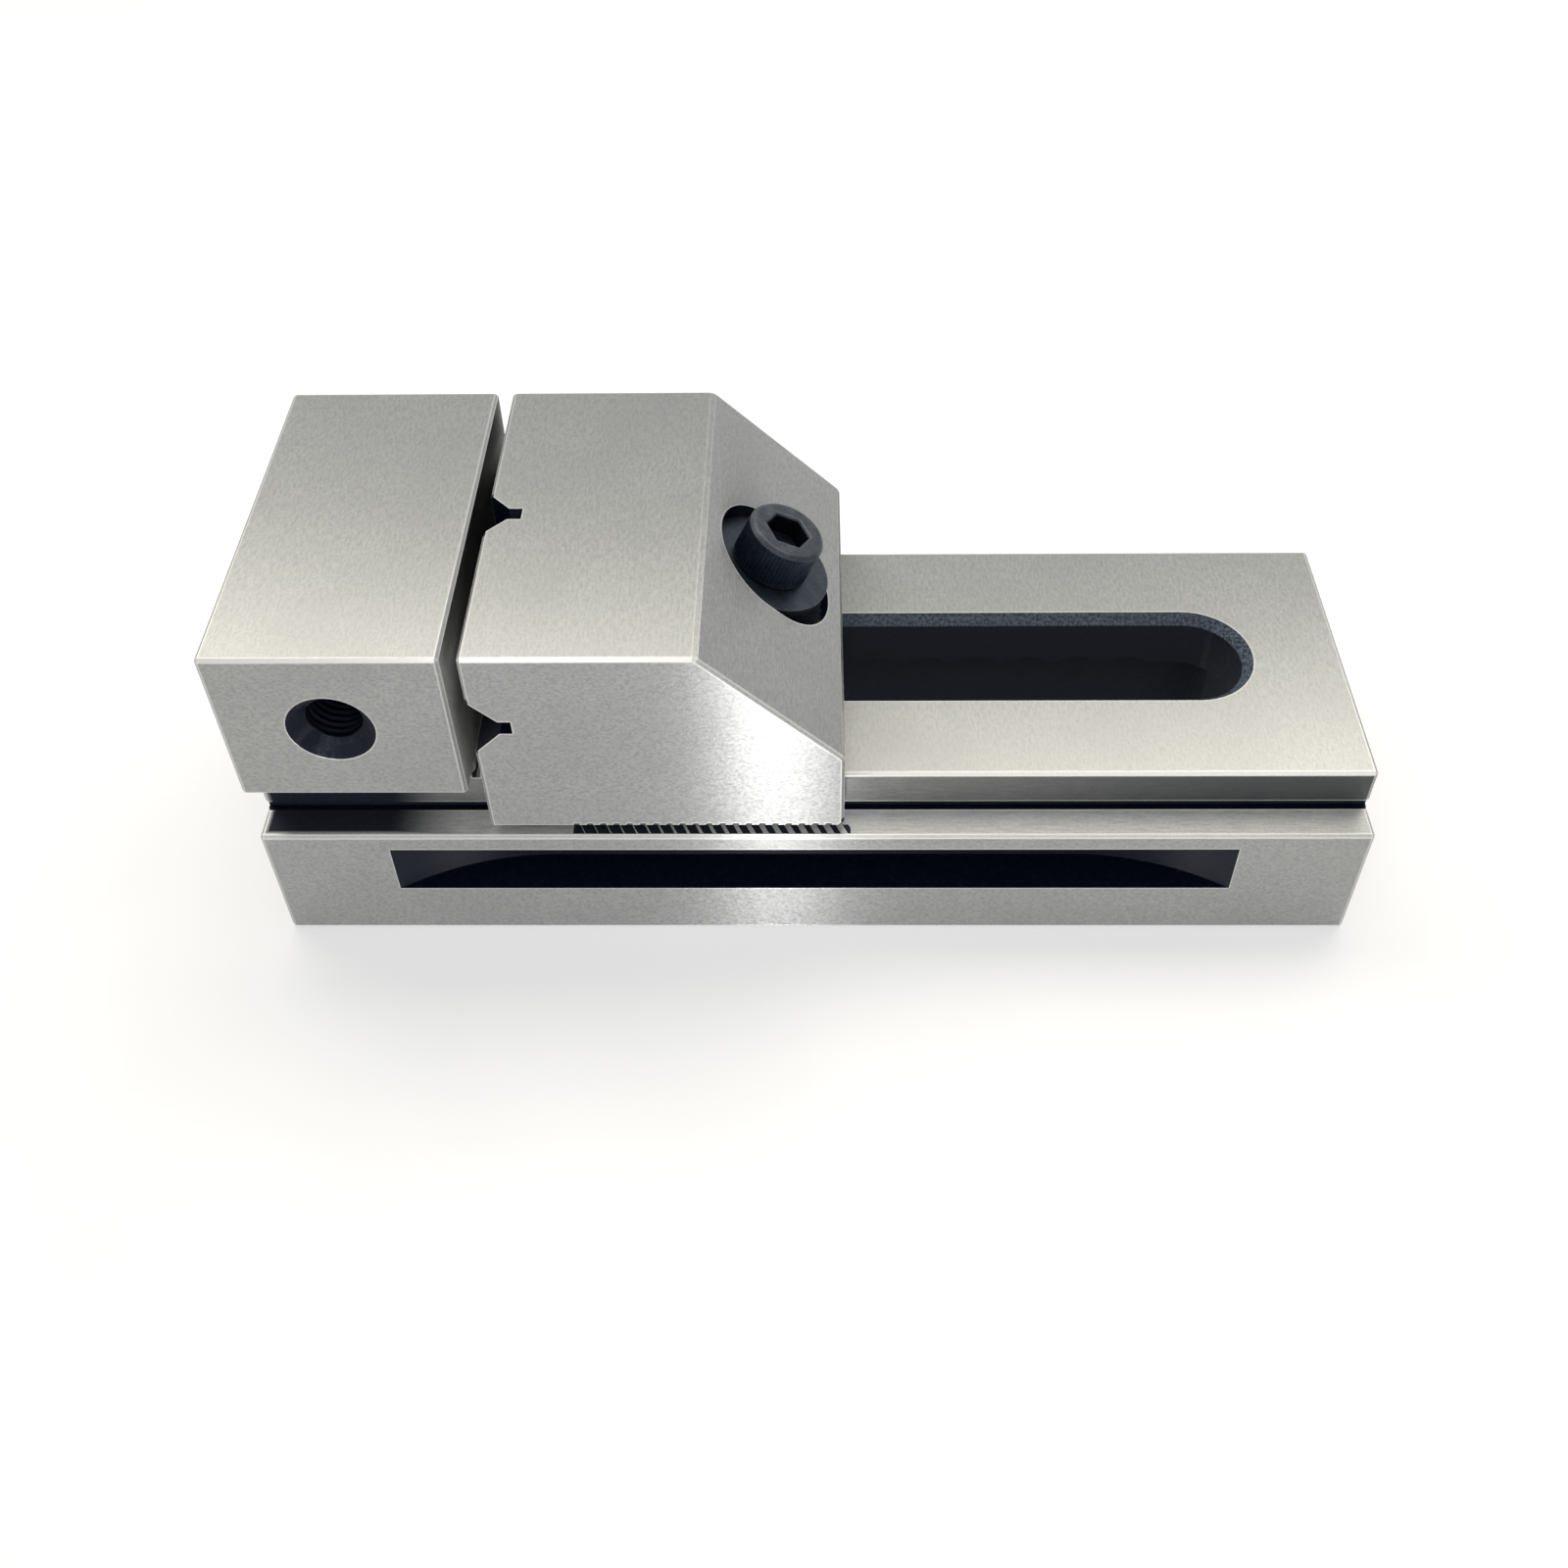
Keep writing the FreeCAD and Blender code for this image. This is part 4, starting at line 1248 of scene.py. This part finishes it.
@dataclass
class Studio:
    """The pale floor, the soft lights and the camera."""

    # The camera in millimetres, degrees and the photograph's pixels.
    camera_at: Triple = (-0.103, -153.351, 179.942)
    pitch: float = 44.299
    yaw: float = 1.418
    roll: float = -1.169
    focal_pixels: float = 1659.5
    centre: Range = (800.1, 645.1)
    sensor: float = 36.0
    clip_start: float = 0.005
    # Half the floor's side in metres, and how far it lies under the vise in millimetres.
    floor_half: float = 3.0
    floor_gap: float = 0.1
    floor_tones: tuple[Colour, Colour] = ((0.42, 0.42, 0.42, 1), (0.45, 0.45, 0.45, 1))
    floor_grain: float = 0.02
    floor_glow: float = 0.47
    far_glow: float = 0.74
    # Up to where the floor is near and from where it is far, in millimetres.
    near_reach: float = 260.0
    far_reach: float = 800.0
    # Painted shade: the floor under the cavity is dark, and only the camera sees it.
    cavity: BoxRegion = BoxRegion((-43.0, -13.5, -1.0), (60.0, 13.5, 1.0), soft=1.0)
    painted_cavity_shade: Colour = (0.004, 0.006, 0.012, 1)
    world_light: float = 0.62
    boxes: tuple[SoftBox, ...] = (
        SoftBox("overhead_box", (0.0, 0.185, 0.44), (0.7, 0.29), 4.0, colour=(1.0, 0.95, 0.82)),
        SoftBox("camera_side_box", (0.0, -0.55, 0.72), (0.7, 0.35), 1.2),
        SoftBox(
            "front_strip", (-0.0072, -0.140, 0.019), (0.008, 0.038), 52.0, (-0.002, 0.0, 0.022)
        ),
    )

    def floor_paint(self, graph: Graph, place: Socket, cavity: Socket) -> bpy.types.Node:
        """The floor's own surface: nearly white where looked at, and painted shade under the
        cavity.

        Args:
            graph: The material's nodes.
            place: The point's place.
            cavity: The mask of the part under the cavity.

        Returns:
            The shader.
        """
        white = graph.blend(
            graph.remap(graph.noise(place, self.floor_grain), *NOISE_SPAN), *self.floor_tones
        )
        diffuse = graph.node("BsdfDiffuse")
        # Painted shade: the floor's colour goes dark under the cavity.
        graph.feed(diffuse.inputs["Color"], graph.blend(cavity, white, self.painted_cavity_shade))
        path = graph.node("LightPath").outputs
        seen = graph.highest(
            path["Is Camera Ray"], path["Is Glossy Ray"], path["Is Transmission Ray"]
        )
        away = graph.vector("DOT_PRODUCT", place, place)
        near, far = self.near_reach ** 2, self.far_reach ** 2
        level = graph.remap(away, near, far, self.floor_glow, self.far_glow)
        glow = graph.node("Emission")
        shown = graph.product(seen, level, graph.less(1.0, cavity))
        graph.feed(glow.inputs["Strength"], shown)
        paint = graph.node("AddShader")
        graph.feed(paint.inputs[0], diffuse.outputs[0])
        graph.feed(paint.inputs[1], glow.outputs[0])
        return paint

    def floor_finish(self) -> bpy.types.Material:
        """The floor's material: its paint, clear from below.

        The part under the cavity lets all but the camera's own sight through, so that it doesn't
        shade the cavity.
        """
        graph = Graph(bpy.data.materials.new("floor_white"))
        place = graph.place()
        cavity = self.cavity.mask(graph, place)
        from_below = graph.node("NewGeometry").outputs["Backfacing"]
        unseen = graph.less(1.0, graph.node("LightPath").outputs["Is Camera Ray"])
        clear = graph.node("MixShader")
        graph.feed(clear.inputs[0], graph.highest(from_below, graph.product(cavity, unseen)))
        graph.feed(clear.inputs[1], self.floor_paint(graph, place, cavity).outputs[0])
        graph.feed(clear.inputs[2], graph.node("BsdfTransparent").outputs[0])
        graph.show(clear)
        return graph.owner

    def floor(self) -> None:
        """Lay the floor, a hair under the vise."""
        half, under = self.floor_half, -self.floor_gap * MM
        signs = ((-1, -1), (1, -1), (1, 1), (-1, 1))
        mesh = bpy.data.meshes.new("floor")
        mesh.from_pydata([(x * half, y * half, under) for x, y in signs], [], [(0, 1, 2, 3)])
        mesh.materials.append(self.floor_finish())
        plane = bpy.data.objects.new("floor", mesh)
        bpy.context.scene.collection.objects.link(plane)

    def surround(self) -> None:
        """Make the world white, and softer as light than as background."""
        world = bpy.data.worlds.new("surround")
        bpy.context.scene.world = world
        graph = Graph(world)
        path = graph.node("LightPath").outputs
        seen = graph.highest(path["Is Camera Ray"], path["Is Glossy Ray"])
        background = graph.node("Background")
        graph.feed(background.inputs["Color"], WHITE)
        level = graph.remap(seen, 0.0, 1.0, self.world_light, 1.0)
        graph.feed(background.inputs["Strength"], level)
        graph.show(background)

    def camera(self) -> None:
        """Stand the camera at the photograph's angle."""
        pitch, yaw, roll = (math.radians(angle) for angle in (self.pitch, self.yaw, self.roll))
        turn = Matrix.Rotation(yaw, 3, "Z")
        forward = turn @ Vector((0, math.cos(pitch), -math.sin(pitch)))
        right = turn @ Vector((1, 0, 0))
        up = right.cross(forward)
        rolled_right = math.cos(roll) * right + math.sin(roll) * up
        rolled_up = math.cos(roll) * up - math.sin(roll) * right
        axes = Matrix((rolled_right, rolled_up, -forward)).transposed()
        data = bpy.data.cameras.new("photo_camera")
        data.sensor_width = self.sensor
        data.lens = self.focal_pixels / PHOTO_SIDE * self.sensor
        data.shift_x = (PHOTO_SIDE / 2 - self.centre[0]) / PHOTO_SIDE
        data.shift_y = (self.centre[1] - PHOTO_SIDE / 2) / PHOTO_SIDE
        data.clip_start = self.clip_start
        camera = bpy.data.objects.new("photo_camera", data)
        camera.matrix_world = Matrix.Translation(mm(*self.camera_at)) @ axes.to_4x4()
        bpy.context.scene.collection.objects.link(camera)
        bpy.context.scene.camera = camera

    def build(self) -> None:
        """Set up the stage, the lights and the camera."""
        bpy.context.scene.view_settings.view_transform = "Standard"
        self.floor()
        self.surround()
        for box in self.boxes:
            box.build()
        self.camera()
        LOG.info("set up the stage, the lights and the camera")


def main() -> None:
    """Build and dress every part of the scene."""
    logging.basicConfig(level=logging.INFO, format="%(message)s")
    ViseBody().build()
    MovableJaw().build()
    ClampScrew().build()
    Studio().build()


if __name__ == "__main__":
    main()
